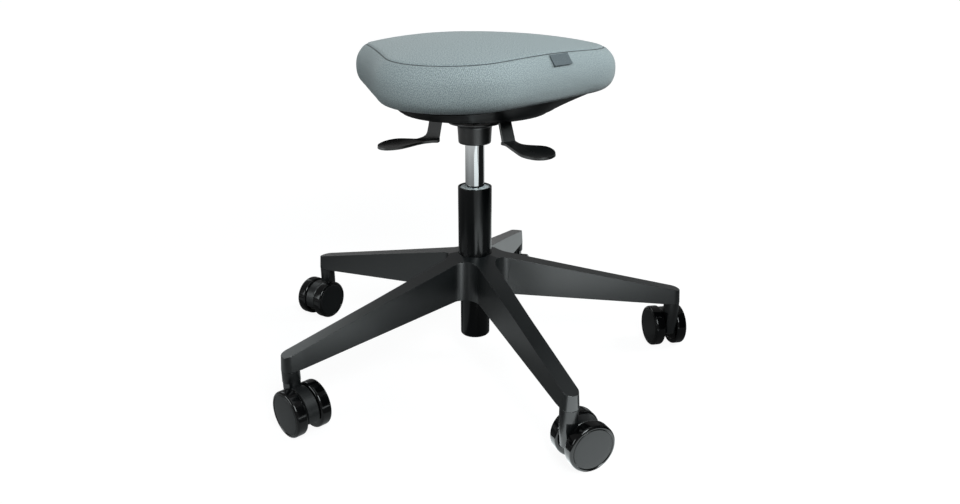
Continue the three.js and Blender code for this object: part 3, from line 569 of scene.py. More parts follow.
@dataclass(frozen=True)
class ClothFinish:
    """A woven cover, whose threads follow the piece's own attribute, with a dark sewn line where it has one."""

    name: str
    color: Color
    thread: Color
    line: Color
    pitch: float = 0.0017
    depth: float = 0.00028
    line_half_width: float = 0.00055
    has_seam: bool = True

    def material(self) -> bpy.types.Material:
        """Makes the cloth's material, or gives it again.

        Returns:
            The material.
        """
        if self.name in bpy.data.materials:
            return bpy.data.materials[self.name]
        made = bpy.data.materials.new(self.name)
        made.use_nodes = True
        made.node_tree.nodes.clear()
        shader = Shader(made.node_tree)
        run = shader.node("ShaderNodeAttribute", attribute_name="weave_run").outputs["Vector"]
        weave = shader.node("ShaderNodeGroup", {}, node_tree=weave_group())
        made.node_tree.links.new(run, weave.inputs["Vector"])
        weave.inputs["Pitch"].default_value = self.pitch
        color = shader.mix(weave.outputs["Tone"], self.color, self.thread)
        height = weave.outputs["Height"]
        if self.has_seam:
            away = shader.node("ShaderNodeAttribute", attribute_name="seam_distance").outputs["Fac"]
            near = shader.math("ABSOLUTE", away)
            line = shader.ramp(near, self.line_half_width, self.line_half_width * 2.4, (1.0, 0.0))
            dark = shader.node("ShaderNodeMix", {"Factor": line}, data_type="RGBA")
            sockets = [socket for socket in dark.inputs if socket.type == "RGBA"]
            made.node_tree.links.new(color, sockets[0])
            sockets[1].default_value = (*self.line, 1)
            color = [socket for socket in dark.outputs if socket.type == "RGBA"][0]
        bump = shader.node("ShaderNodeBump", {"Height": height, "Distance": self.depth, "Strength": 0.6})
        surface = shader.node("ShaderNodeBsdfPrincipled", {
            "Base Color": color, "Roughness": 0.88, "Normal": bump.outputs["Normal"],
            "Sheen Weight": 0.2, "Sheen Roughness": 0.4, "Specular IOR Level": 0.12,
        })
        shader.node("ShaderNodeOutputMaterial", {"Surface": surface.outputs[0]})
        return made


@dataclass(frozen=True)
class PlyFinish:
    """Raw plywood with its layers at the edge."""

    name: str
    color: Color
    layer: Color

    def material(self) -> bpy.types.Material:
        """Makes the plywood's material, or gives it again.

        Returns:
            The material.
        """
        if self.name in bpy.data.materials:
            return bpy.data.materials[self.name]
        made = bpy.data.materials.new(self.name)
        made.use_nodes = True
        made.node_tree.nodes.clear()
        shader = Shader(made.node_tree)
        place = shader.node("ShaderNodeTexCoord").outputs["Object"]
        stretched = shader.node("ShaderNodeMapping", {"Vector": place, "Scale": (9.0, 120.0, 700.0)})
        rings = shader.node("ShaderNodeTexNoise", {"Vector": stretched.outputs[0], "Scale": 1.0, "Detail": 4.0})
        color = shader.mix(shader.ramp(rings.outputs["Fac"], 0.35, 0.65, (0.0, 1.0)), self.color, self.layer)
        bump = shader.node("ShaderNodeBump", {"Height": rings.outputs["Fac"], "Distance": 0.0001, "Strength": 0.5})
        surface = shader.node("ShaderNodeBsdfPrincipled", {
            "Base Color": color, "Roughness": 0.7, "Normal": bump.outputs["Normal"],
        })
        shader.node("ShaderNodeOutputMaterial", {"Surface": surface.outputs[0]})
        return made


BASE_COAT = Finish("base_coat", (0.0048, 0.0060, 0.0065), (0.0075, 0.0090, 0.0096), 0.31, specular=0.85,
                   grain_scale=1400, grain_depth=0.000008, roughness_spread=0.02, dust=0.015)
HOUSING_PLASTIC = Finish("housing_plastic", (0.0030, 0.0037, 0.0041), (0.0050, 0.0060, 0.0064), 0.35, specular=0.6,
                         grain_scale=1200, grain_depth=0.00002)
WHEEL_GLOSS = Finish("wheel_gloss", (0.0012, 0.0013, 0.0015), (0.0025, 0.0026, 0.0028), 0.12, specular=0.4,
                     grain_scale=300, grain_depth=0.000004, roughness_spread=0.04, dust=0.02)
WHEEL_FACE = Finish("wheel_face", (0.0035, 0.0042, 0.0046), (0.0060, 0.0070, 0.0075), 0.32, specular=0.36,
                    grain_scale=1500, grain_depth=0.00002)
COLUMN_COAT = Finish("column_coat", (0.0004, 0.0008, 0.0011), (0.0010, 0.0016, 0.0020), 0.18, specular=0.34,
                     grain_scale=1100, grain_depth=0.000006, roughness_spread=0.04)
MECHANISM_COAT = Finish("mechanism_coat", (0.0020, 0.0026, 0.0030), (0.0045, 0.0052, 0.0058), 0.30, specular=0.9,
                        grain_scale=1000, grain_depth=0.000015)
LEVER_PLASTIC = Finish("lever_plastic", (0.0030, 0.0038, 0.0040), (0.0070, 0.0080, 0.0084), 0.31, specular=1.0,
                       grain_scale=1300, grain_depth=0.000015)
SHELL_PLASTIC = Finish("shell_plastic", (0.0016, 0.0021, 0.0024), (0.0034, 0.0042, 0.0046), 0.42, specular=0.02,
                       grain_scale=1200, grain_depth=0.000012)
BUSH_PLASTIC = Finish("bush_plastic", (0.55, 0.59, 0.60), (0.70, 0.74, 0.75), 0.45, grain_scale=900)
RUBBER = Finish("rubber", (0.012, 0.012, 0.012), (0.03, 0.03, 0.03), 0.85, grain_scale=700, grain_depth=0.00006)
CHROME = PlatedFinish("chrome", (0.80, 0.83, 0.84), (0.72, 0.75, 0.76), 0.05, metallic=1.0, roughness_spread=0.04)
STEEL = PlatedFinish("steel", (0.50, 0.51, 0.52), (0.38, 0.39, 0.40), 0.3, metallic=1.0, roughness_spread=0.15,
                     line_depth=0.00001)
SEAT_CLOTH = ClothFinish("seat_cloth", (0.158, 0.189, 0.195), (0.395, 0.453, 0.467), (0.06, 0.075, 0.08))
TAB_CLOTH = ClothFinish("tab_cloth", (0.075, 0.092, 0.10), (0.14, 0.165, 0.178), (0.03, 0.03, 0.03), pitch=0.0008,
                        depth=0.0001, has_seam=False)
PLYWOOD = PlyFinish("plywood", (0.45, 0.29, 0.15), (0.33, 0.19, 0.09))


@dataclass
class StarBase:
    """The five-legged cast base with webs between its legs and pockets under them."""

    neck_radius: float = 12.0
    web_reach: float = 40.0
    web_fillet: float = 24.0
    hub_flat: float = 46.0
    bore: float = 25.3
    wall: float = 4.0
    pocket_bounds: tuple[float, ...] = (54.0, 174.5, 295.0)
    edge_round: float = 1.3
    end_power: float = 2.2
    top_share: float = 0.87
    slope: float = 67.0 / 288.0

    def top(self, reach: float) -> float:
        """Gives the height of a leg's top at a distance along it."""
        return HUB_TOP - self.slope * (reach - 25)

    def underside(self, reach: float) -> float:
        """Gives the height of a leg's underside at a distance along it."""
        share = (reach - self.hub_flat) / (CASTER_CIRCLE - self.neck_radius - self.hub_flat)
        return HUB_UNDERSIDE + (LEG_UNDERSIDE - HUB_UNDERSIDE) * min(max(share, 0), 1)

    def outline(self) -> list[Vector]:
        """Gives one fifth of the base's outline, about a leg that lies along X.

        Returns:
            The points, anticlockwise.
        """
        half = math.pi / LEG_COUNT
        quarter = math.pi / 2
        away = self.web_reach + self.web_fillet
        center = (away * math.cos(half), away * math.sin(half))
        upper = [self.end_point(quarter * index / 12) for index in range(13)]
        upper += arc(center, self.web_fillet, -quarter, half - math.pi, 12)
        upper += arc((0, 0), self.bore, half, 0, 7)
        lower = [Vector((point.x, -point.y, 0)) for point in reversed(upper[1:-1])]
        return upper + lower

    def end_point(self, angle: float) -> Vector:
        """Gives a point of the leg's squarish round end at an angle."""
        power = 2 / self.end_power
        across = self.neck_radius * math.copysign(abs(math.sin(angle)) ** power, math.sin(angle))
        return Vector((CASTER_CIRCLE + self.neck_radius * abs(math.cos(angle)) ** power, across, 0))

    def build(self) -> bmesh.types.BMesh:
        """Models the base from one leg, turned five times about the column.

        Returns:
            The closed mesh.
        """
        mesh = bmesh.new()
        face = mesh.faces.new([mesh.verts.new(point) for point in self.outline()])
        raised = bmesh.ops.extrude_face_region(mesh, geom=[face])
        top = [item for item in raised["geom"] if isinstance(item, bmesh.types.BMVert)]
        bmesh.ops.translate(mesh, verts=top, vec=(0, 0, 1))
        bounds = sorted((*self.pocket_bounds, self.hub_flat, CASTER_CIRCLE - self.neck_radius))
        for bound in bounds:
            geometry = [*mesh.verts, *mesh.edges, *mesh.faces]
            bmesh.ops.bisect_plane(mesh, geom=geometry, plane_co=(bound, 0, 0), plane_no=(1, 0, 0), dist=0.0001)
        for vertex in mesh.verts:
            is_top = vertex.co.z > 0.5
            level = self.top if is_top else self.underside
            vertex.co.z = level(vertex.co.x)
            if is_top:
                self.draw_in(vertex)
        self.sink_pockets(mesh)
        half = math.pi / LEG_COUNT
        cut = [face for face in mesh.faces if self.is_joint(face, half)]
        bmesh.ops.delete(mesh, geom=cut, context="FACES_ONLY")
        leg = [*mesh.verts, *mesh.edges, *mesh.faces]
        for index in range(1, LEG_COUNT):
            copy = bmesh.ops.duplicate(mesh, geom=leg)["geom"]
            verts = [item for item in copy if isinstance(item, bmesh.types.BMVert)]
            bmesh.ops.rotate(mesh, verts=verts, cent=(0, 0, 0), matrix=Matrix.Rotation(2 * half * index, 3, "Z"))
        closed_up(mesh)
        soften(mesh, self.edge_round, 3, 40, lambda edge: not self.in_pocket(edge))
        return mesh

    def draw_in(self, vertex: bmesh.types.BMVert) -> None:
        """Narrows the leg's top against its underside, more so towards its end."""
        start = self.pocket_bounds[0]
        travel = (vertex.co.x - start) / (self.pocket_bounds[1] - start)
        share = 1 - (1 - self.top_share) * min(max(travel, 0), 1)
        if travel > 0:
            vertex.co.y *= share
        vertex.co.x -= max(vertex.co.x - CASTER_CIRCLE, 0) * (1 - share)

    def is_joint(self, face: bmesh.types.BMFace, half: float) -> bool:
        """Tells whether a face lies on the plane where two fifths meet."""
        return all(
            abs(abs(math.atan2(vertex.co.y, vertex.co.x)) - half) < 1e-4 for vertex in face.verts
        )

    def in_pocket(self, edge: bmesh.types.BMEdge) -> bool:
        """Tells whether an edge lies wholly in a pocket's inside, above the leg's underside."""
        across = [min(
            abs(vertex.co.y * math.cos(angle) - vertex.co.x * math.sin(angle))
            for angle in (2 * math.pi * index / LEG_COUNT for index in range(LEG_COUNT))
        ) for vertex in edge.verts]
        reach = [vertex.co.xy.length for vertex in edge.verts]
        low = max(vertex.co.z for vertex in edge.verts)
        inside = all(value < self.neck_radius - self.wall + 2.2 for value in across)
        return inside and min(reach) > self.pocket_bounds[0] and max(reach) < self.pocket_bounds[2] + 1 and low < HUB_TOP

    def sink_pockets(self, mesh: bmesh.types.BMesh) -> None:
        """Sinks the pockets into the leg's underside, up to a wall under its top."""
        starts = zip(self.pocket_bounds, self.pocket_bounds[1:])
        for start, stop in starts:
            face = next(
                face for face in mesh.faces
                if start < face.calc_center_median().x < stop and face.normal.z < -0.7
            )
            bmesh.ops.inset_individual(mesh, faces=[face], thickness=self.wall, use_even_offset=True)
            raised = bmesh.ops.extrude_face_region(mesh, geom=[face])
            roof = [item for item in raised["geom"] if isinstance(item, bmesh.types.BMVert)]
            for vertex in roof:
                vertex.co.z = self.top(vertex.co.x) - self.wall
            if face.is_valid:
                bmesh.ops.delete(mesh, geom=[face], context="FACES_ONLY")

    def dress(self) -> None:
        """Puts the base in place."""
        place = ON_COLUMN @ Matrix.Rotation(LEG_ANGLES[0], 4, "Z")
        keep(self.build(), "base_casting", Share("base", ("star_base",), "base_charcoal"), [BASE_COAT.material()], place)


@dataclass
class Casters:
    """The five twin-wheel casters, each made about its swivel line and trailing along X."""

    trails: tuple[float, ...] = (115.4, -90.0, -107.5, -30.9, 38.9)
    wheel_radius: float = 32.0
    wheel_width: float = 16.5
    wheel_spacing: float = 19.0
    trail: float = 20.7
    half_width: float = 8.6
    hood_radius: float = 29.4
    hood_inner: float = 26.2
    boss_radius: float = 7.0
    half_web: float = 2.5
    neck_radius: float = 12.0
    neck_foot_radius: float = 9.5
    neck_foot: float = 28.0
    shoulder: float = 65.6
    bore: float = 3.3
    hood_end: float = 23.0
    far: float = 60.0

    def housing(self) -> bmesh.types.BMesh:
        """Models the post with the hood between the two wheels.

        Returns:
            The closed mesh.
        """
        post = lathe([
            (0, self.neck_foot), (self.neck_foot_radius - 1.2, self.neck_foot),
            (self.neck_foot_radius, self.neck_foot + 1.2), (self.neck_radius, self.neck_foot + 26),
            (self.neck_radius, NECK_TOP - 0.2), (self.neck_radius - 0.2, NECK_TOP), (0, NECK_TOP),
        ], 48)
        for side in (-1, 1):
            near, out = side * self.half_width, side * self.far
            low = (-self.far, min(near, out), -self.far)
            high = (self.far, max(near, out), self.shoulder)
            post = combined(post, block(low, high), Join.CUT)
        width = self.half_width
        hood = lathe([
            (self.bore, -width), (self.boss_radius, -width), (self.boss_radius, -self.half_web),
            (self.hood_inner, -self.half_web), (self.hood_inner, -width), (self.hood_radius - 1, -width),
            (self.hood_radius, 1 - width), (self.hood_radius, width - 1), (self.hood_radius - 1, width),
            (self.hood_inner, width), (self.hood_inner, self.half_web), (self.boss_radius, self.half_web),
            (self.boss_radius, width), (self.bore, width),
        ], 72, ring=True)
        along_y(hood)
        hood.transform(Matrix.Translation((self.trail, 0, AXLE_HEIGHT)))
        kept = block((0, -self.far, self.hood_end), (self.far, self.far, NECK_TOP))
        hood = combined(hood, kept, Join.KEEP)
        housing = combined(post, hood, Join.ADD)
        bore = along_y(lathe([(0, -self.far), (self.bore, -self.far), (self.bore, self.far), (0, self.far)], 24))
        bore.transform(Matrix.Translation((self.trail, 0, AXLE_HEIGHT)))
        housing = combined(housing, bore, Join.CUT)
        stem = lathe([(0, NECK_TOP - 16.3), (5.8, NECK_TOP - 16.3), (5.8, NECK_TOP + 5), (0, NECK_TOP + 5)], 32)
        return combined(housing, stem, Join.CUT)

    def wheel(self) -> bmesh.types.BMesh:
        """Models a wheel with its rounded tread and its slightly raised face.

        Returns:
            The closed mesh, whose face has the second material.
        """
        inner = self.wheel_spacing / 2
        outer = inner + self.wheel_width
        radius = self.wheel_radius
        rounds = [math.radians(angle) for angle in (0, 22.5, 45, 67.5, 90)]
        tread = 3.4
        profile = [(0.0, inner + 12), (self.bore, inner + 12), (self.bore, inner), (6.5, inner), (7.0, inner + 0.8),
                   (radius - 8, inner + 0.8), (radius - 7, inner)]
        profile += [(radius - tread + tread * math.sin(a), inner + tread - tread * math.cos(a)) for a in rounds]
        profile += [(radius - tread + tread * math.cos(a), outer - tread + tread * math.sin(a)) for a in rounds]
        profile += [(28.2, outer), (27.6, outer - 0.7), (27.0, outer - 0.9), (26.6, outer - 0.5), (25.8, outer - 0.2),
                    (18.0, outer - 0.1), (0.0, outer)]
        mesh = lathe(profile, 96)
        for face in mesh.faces:
            middle = face.calc_center_median()
            if middle.z > outer - 1.2 and middle.xy.length < 27.2:
                face.material_index = 1
        return along_y(mesh)

    def dress(self) -> None:
        """Puts the five casters in place."""
        housing, wheel = self.housing(), self.wheel()
        for index, angle in enumerate(LEG_ANGLES):
            number = index + 1
            stand = Vector((CASTER_CIRCLE * math.cos(angle), CASTER_CIRCLE * math.sin(angle), 0))
            place = ON_COLUMN @ Matrix.Translation(stand) @ Matrix.Rotation(math.radians(self.trails[index]), 4, "Z")
            share = Share(f"caster_{number}", (f"caster_housing_{number}",), "housing_charcoal")
            keep(housing.copy(), f"caster_fork_{number}", share, [HOUSING_PLASTIC.material()], place)
            for side, turn in (("left", 0.0), ("right", math.pi)):
                node = f"wheel_{side}_{number}"
                axle = place @ Matrix.Translation((self.trail, 0, AXLE_HEIGHT)) @ Matrix.Rotation(turn, 4, "Z")
                keep(wheel.copy(), f"caster_{node}", Share(node, (node,), "wheel_black"),
                     [WHEEL_GLOSS.material(), WHEEL_FACE.material()], axle)
        housing.free()
        wheel.free()


@dataclass
class Column:
    """The outer tube through the hub, with the pale bush in its rim."""

    radius: float = 25.0
    foot_radius: float = 22.5
    wall: float = 2.6
    taper_foot: float = 112.3
    bush_length: float = 84.0
    bush_recess: float = 1.6
    bush_bore: float = 14.3
    notch_count: int = 8

    def tube(self) -> bmesh.types.BMesh:
        """Models the tube from its closed foot to its open rim.

        Returns:
            The closed mesh.
        """
        inner = self.radius - self.wall
        shoulder = COLUMN_TOP - self.bush_recess - self.bush_length - 0.3
        web = COLUMN_FOOT + 8.2
        lower = self.foot_radius - self.wall
        return lathe([
            (11, COLUMN_FOOT), (self.foot_radius - 2.4, COLUMN_FOOT), (self.foot_radius - 1.2, COLUMN_FOOT + 0.32),
            (self.foot_radius - 0.32, COLUMN_FOOT + 1.2), (self.foot_radius, COLUMN_FOOT + 2.4),
            (self.foot_radius, self.taper_foot), (self.radius, HUB_TOP - 0.3), (self.radius, COLUMN_TOP - 0.8),
            (self.radius - 0.25, COLUMN_TOP - 0.25), (self.radius - 0.8, COLUMN_TOP), (inner + 0.5, COLUMN_TOP),
            (inner, COLUMN_TOP - 0.5), (inner, shoulder), (17.5, shoulder), (17.5, shoulder - 2.6),
            (lower, shoulder - 2.6), (lower, web), (4.3, web), (4.3, COLUMN_FOOT + 4.2), (11, COLUMN_FOOT + 4.2),
        ], 96, ring=True)

    def bush(self) -> bmesh.types.BMesh:
        """Models the bush with the notches in its rim.

        Returns:
            The closed mesh.
        """
        top = COLUMN_TOP - self.bush_recess
        outer = self.radius - self.wall - 0.3
        ring = lathe([
            (self.bush_bore, top - self.bush_length), (outer, top - self.bush_length), (outer, top - 0.6),
            (outer - 0.6, top), (self.bush_bore + 0.8, top), (self.bush_bore, top - 0.8),
        ], 96, ring=True)
        for index in range(self.notch_count):
            notch = block((16.6, -1.7, top - 4), (25, 1.7, top + 3))
            notch.transform(Matrix.Rotation(2 * math.pi * index / self.notch_count, 4, "Z"))
            ring = combined(ring, notch, Join.CUT)
        return ring

    def dress(self) -> None:
        """Puts the column and its bush in place."""
        keep(self.tube(), "column", Share("base", ("column_tube",), "column_black"), [COLUMN_COAT.material()], ON_COLUMN)
        keep(self.bush(), "column_bush", Share("base", ("guide_bush",), "bush_grey"), [BUSH_PLASTIC.material()], ON_COLUMN)


@dataclass
class Lift:
    """The chrome cylinder and the socket that it carries."""

    radius: float = 14.0
    top_radius: float = 13.2
    wall: float = 2.0
    low: float = 102.2
    socket_foot_radius: float = 23.6
    socket_radius: float = 25.0
    flare_radius: float = 38.0
    lug_reach: tuple[float, float] = (26.0, 32.0)
    lug_half_width: float = 7.5

    def cylinder(self) -> bmesh.types.BMesh:
        """Models the cylinder with its tapered top.

        Returns:
            The closed mesh.
        """
        inner = self.radius - self.wall
        top = SOCKET_TOP - 0.3
        return lathe([
            (inner, self.low), (self.radius - 0.4, self.low), (self.radius, self.low + 0.4),
            (self.radius, top - 24), (self.top_radius, top), (4.3, top), (4.3, top - 14.3), (inner, top - 14.3),
        ], 96, ring=True)

    def socket(self) -> bmesh.types.BMesh:
        """Models the socket with its rounded foot, its flare and its two lugs.

        Returns:
            The closed mesh.
        """
        foot, flare = SOCKET_FOOT, HOUSING_TOP - 7
        body = lathe([
            (14.3, foot + 0.6), (14.9, foot), (self.socket_foot_radius - 2.6, foot),
            (self.socket_foot_radius - 1.3, foot + 0.35), (self.socket_foot_radius - 0.35, foot + 1.3),
            (self.socket_foot_radius + 0.1, foot + 2.8), (self.socket_radius - 0.1, flare - 2),
            (self.socket_radius + 0.5, flare), (self.socket_radius + 5, flare + 2.6),
            (self.flare_radius - 0.6, HOUSING_TOP - 3), (self.flare_radius, HOUSING_TOP - 2.4),
            (self.flare_radius, HOUSING_TOP - 0.6), (self.flare_radius - 0.6, HOUSING_TOP), (4.6, HOUSING_TOP),
            (4.6, SOCKET_TOP), (13.5, SOCKET_TOP), (14.3, SOCKET_TOP - 24),
        ], 96, ring=True)
        for side in (-1, 1):
            reach = sorted((side * self.lug_reach[0], side * self.lug_reach[1]))
            round_end = along_x(lathe([
                (0, reach[0]), (self.lug_half_width, reach[0]), (self.lug_half_width, reach[1]), (0, reach[1]),
            ], 48))
            round_end.transform(Matrix.Translation((0, 0, TILT_AXIS)))
            low = (reach[0], -self.lug_half_width, HOUSING_TOP - 1)
            stalk = block(low, (reach[1], self.lug_half_width, TILT_AXIS))
            body = combined(body, combined(round_end, stalk, Join.ADD), Join.ADD)
        bore = along_x(lathe([(0, -45), (4.3, -45), (4.3, 45), (0, 45)], 32))
        bore.transform(Matrix.Translation((0, 0, TILT_AXIS)))
        return combined(body, bore, Join.CUT)

    def dress(self) -> None:
        """Puts the cylinder and the socket in place."""
        keep(self.cylinder(), "lift_tube", Share("lift", ("gas_cylinder",), "lift_chrome"), [CHROME.material()], ON_COLUMN)
        keep(self.socket(), "lift_socket", Share("lift", ("mechanism_housing",), "mechanism_black"),
             [MECHANISM_COAT.material()], ON_COLUMN)


@dataclass(frozen=True)
class LeverForm:
    """One lever's plan: its direction, its arm, the strip's front face and the paddle's outline, about the column."""

    direction: float
    arm: tuple[tuple[float, float], ...]
    strip: tuple[tuple[float, float, float], ...]
    strip_back: tuple[float, float]
    outline: tuple[tuple[float, float], ...]
    spine: tuple[tuple[float, float], tuple[float, float]]
    rear: tuple[float, float]
    fall: float = 5.0
    rear_rise: float = 1.6


class LeverRole(Enum):
    """What a paddle works, with its form."""

    HEIGHT = LeverForm(
        -33.7,
        ((-6, -7), (37, -7), (39, -11), (61, -11), (61, 11), (39, 11), (37, 7), (-6, 7)),
        ((42.9, -41.9, 384), (55.1, -23.5, 384), (62.3, -28.3, 355), (64.5, -31.0, 352), (50.6, -47.0, 351.2)),
        (0.832, -0.555),
        ((50.6, -46.2), (51.8, -51.2), (58, -56.5), (66, -67.5), (77, -81), (86, -91), (96, -98), (108, -102),
         (119, -100.5), (127, -94), (130.5, -84), (127.5, -72), (119.5, -61), (107, -53.5), (94, -51.5),
         (83, -50), (75, -45), (68.5, -36.5), (63.5, -29)),
        ((64, -48), (106, -80)),
        (0.55, 0.83),
        rear_rise=2.6,
    )
    TILT = LeverForm(
        -139.0,
        ((22, -7), (37, -7), (39, -11), (48, -11), (58, 0.5), (72.5, 9), (60, 13), (48, 11), (39, 11), (37, 7), (22, 7)),
        ((-33.0, -45.5, 384), (-50.9, -50.2, 384), (-53.3, -50.9, 371), (-54.7, -51.3, 364), (-56.6, -51.8, 359.5),
         (-60.5, -52.8, 356.5), (-66, -54.3, 354.6), (-72, -55.9, 353), (-38.4, -46.9, 353)),
        (-0.257, 0.966),
        ((-39.2, -42.6), (-41, -42.9), (-56, -46.9), (-71, -50.8), (-82, -52.0), (-94, -54.5), (-105.5, -62.5),
         (-112.5, -75), (-113.8, -88), (-109, -98), (-99, -102.5), (-87.5, -100), (-77.5, -93), (-69, -83.5),
         (-62, -74), (-54.5, -66), (-46, -61.2), (-39, -58.6), (-37.4, -57.6), (-37.2, -50)),
        ((-46, -55), (-95, -81)),
        (-0.42, 0.90),
        fall=4.0,
    )


@dataclass
class Lever:
    """A flat arm that folds down into a strip, which ends in a dished paddle."""

    role: LeverRole
    thickness: float = 4.0
    pivot: float = 43.0
    paddle_thickness: float = 3.5
    paddle_top: float = 354.0
    dish: float = 1.7
    loops: int = 9
    edge_round: float = 0.9

    def plate(self, points: Sequence[Vector], push: Vector) -> bmesh.types.BMesh:
        """Models a flat plate from its outline and the way through its thickness.

        Args:
            points: The outline.
            push: The offset from this side to the other.

        Returns:
            The closed mesh with softened edges.
        """
        mesh = bmesh.new()
        face = mesh.faces.new([mesh.verts.new(point) for point in points])
        raised = bmesh.ops.extrude_face_region(mesh, geom=[face])
        moved = [item for item in raised["geom"] if isinstance(item, bmesh.types.BMVert)]
        bmesh.ops.translate(mesh, verts=moved, vec=push)
        bmesh.ops.recalc_face_normals(mesh, faces=mesh.faces)
        return soften(mesh, self.edge_round, 2, 50)

    def rounded(self, points: Sequence[tuple[float, float]], steps: int = 4) -> list[Vector]:
        """Carries a smooth closed curve through the paddle's outline.

        Args:
            points: The outline's corners.
            steps: How many pieces each span is cut into.

        Returns:
            The curve's points.
        """
        corners = [Vector((x, y, 0)) for x, y in points]
        count = len(corners)
        curve = []
        for index in range(count):
            a, b, c, d = (corners[(index + shift) % count] for shift in (-1, 0, 1, 2))
            for step in range(steps):
                t = step / steps
                curve.append(0.5 * (2 * b + (c - a) * t + (2 * a - 5 * b + 4 * c - d) * t * t
                                    + (3 * b - a - 3 * c + d) * t ** 3))
        return curve

    def paddle(self) -> bmesh.types.BMesh:
        """Models the dished paddle with loops that close in on its spine.

        Returns:
            The closed mesh, as it stands in the photographed pose.
        """
        form = self.role.value
        start, stop = (Vector((*point, 0)) for point in form.spine)
        along = (stop - start).normalized()
        rear = Vector((*form.rear, 0))
        length = (stop - start).length
        rings = []
        curve = self.rounded(form.outline)
        for loop in range(self.loops + 1):
            share = loop / self.loops
            ring = []
            for point in curve:
                on = min(max((point - start).dot(along), 0), length)
                middle = start + along * on
                place = point.lerp(middle, share * 0.985)
                travel = min(max((place - start).dot(along) / (length + 26), 0), 1)
                open_up = min(max(travel * 2.2 - 0.25, 0), 1)
                sunk = self.dish * (1 - (1 - share) ** 2) * open_up
                lift = form.rear_rise * rear.dot(place - middle) / 22 * open_up
                ring.append(Vector((place.x, place.y, self.paddle_top - form.fall * travel - sunk + lift)))
            rings.append(ring)
        mesh = skin(rings)
        bmesh.ops.remove_doubles(mesh, verts=mesh.verts, dist=0.25)
        bmesh.ops.holes_fill(mesh, edges=[edge for edge in mesh.edges if edge.is_boundary], sides=12)
        bmesh.ops.recalc_face_normals(mesh, faces=mesh.faces)
        if sum(face.normal.z for face in mesh.faces) < 0:
            bmesh.ops.reverse_faces(mesh, faces=mesh.faces)
        bmesh.ops.solidify(mesh, geom=mesh.faces[:], thickness=self.paddle_thickness)
        closed_up(mesh)
        return soften(mesh, self.edge_round, 3, 50)

    def build(self) -> bmesh.types.BMesh:
        """Models the lever's parts and joins them.

        Returns:
            The closed mesh, level and about the column.
        """
        form = self.role.value
        half = self.thickness / 2
        turn = Matrix.Rotation(math.radians(form.direction), 4, "Z")
        arm = self.plate([Vector((x, y, TILT_AXIS - half)) for x, y in form.arm], Vector((0, 0, self.thickness)))
        eye = along_y(lathe([(0, -7), (5.5, -7), (5.5, 7), (0, 7)], 32))
        eye.transform(Matrix.Translation((self.pivot, 0, TILT_AXIS)))
        arm = combined(arm, eye, Join.ADD)
        bore = along_y(lathe([(0, -30), (2.8, -30), (2.8, 30), (0, 30)], 24))
        bore.transform(Matrix.Translation((self.pivot, 0, TILT_AXIS)))
        arm = combined(arm, bore, Join.CUT)
        arm.transform(turn)
        back = Vector((*form.strip_back, 0)) * self.thickness
        strip = self.plate([Vector(point) for point in form.strip], back)
        lower = combined(self.paddle(), strip, Join.ADD)
        lower.transform(ON_SEAT.inverted() @ ON_COLUMN)
        return combined(lower, arm, Join.ADD)

    def dress(self) -> None:
        """Puts the lever in place."""
        name = self.role.name.lower()
        share = Share(f"{name}_lever", (f"{name}_lever",), "lever_black")
        keep(self.build(), f"{name}_paddle", share, [LEVER_PLASTIC.material()], ON_SEAT, 30)


@dataclass
class SeatOutline:
    """The three-cornered outline with round corners and nearly straight sides."""

    corner_reach: float = 101.3
    corner_radius: float = 104.1
    side_reach: float = 153.0
    corner_steps: int = 22
    side_steps: int = 10

    def ring(self, inset: float, height: float, scale: float = 1) -> list[Vector]:
        """Gives the outline's points at an inset.

        Args:
            inset: How far inside the widest outline the ring lies.
            height: The ring's height.
            scale: A further share of the reach from the column's line.

        Returns:
            The points, anticlockwise from the front corner.
        """
        bulge = self.side_reach - self.corner_radius
        center = (self.corner_reach ** 2 - bulge ** 2) / (2 * bulge - self.corner_reach)
        radius = self.side_reach + center
        third = math.pi / 3
        turn = math.copysign(1, center)
        sweep = math.atan2(turn * center * math.sin(third), turn * (self.corner_reach + center * math.cos(third)))
        points = []
        for corner in range(3):
            bearing = -math.pi / 2 + 2 * third * corner
            for index in range(self.corner_steps):
                normal = bearing - sweep + 2 * sweep * index / self.corner_steps
                across = self.corner_radius - inset
                points.append(Vector((
                    self.corner_reach * math.cos(bearing) + across * math.cos(normal),
                    self.corner_reach * math.sin(bearing) + across * math.sin(normal), 0,
                )))
            for index in range(self.side_steps):
                normal = bearing + sweep + 2 * (third - sweep) * index / self.side_steps
                across = radius - inset
                points.append(Vector((
                    -center * math.cos(bearing + third) + across * math.cos(normal),
                    -center * math.sin(bearing + third) + across * math.sin(normal), 0,
                )))
        return [Vector((point.x * scale, point.y * scale, height)) for point in points]

    def bowl(self, radius: float, inset: float, share: float, height: float) -> list[Vector]:
        """Gives a ring part of the way from a circle out to the outline.

        Args:
            radius: The circle's radius.
            inset: The outline's inset.
            share: How far the ring is on its way out.
            height: The ring's height.

        Returns:
            The points.
        """
        points = []
        for point in self.ring(inset, height):
            round_scale = radius / point.xy.length
            scale = round_scale + (1 - round_scale) * share
            points.append(Vector((point.x * scale, point.y * scale, height)))
        return points


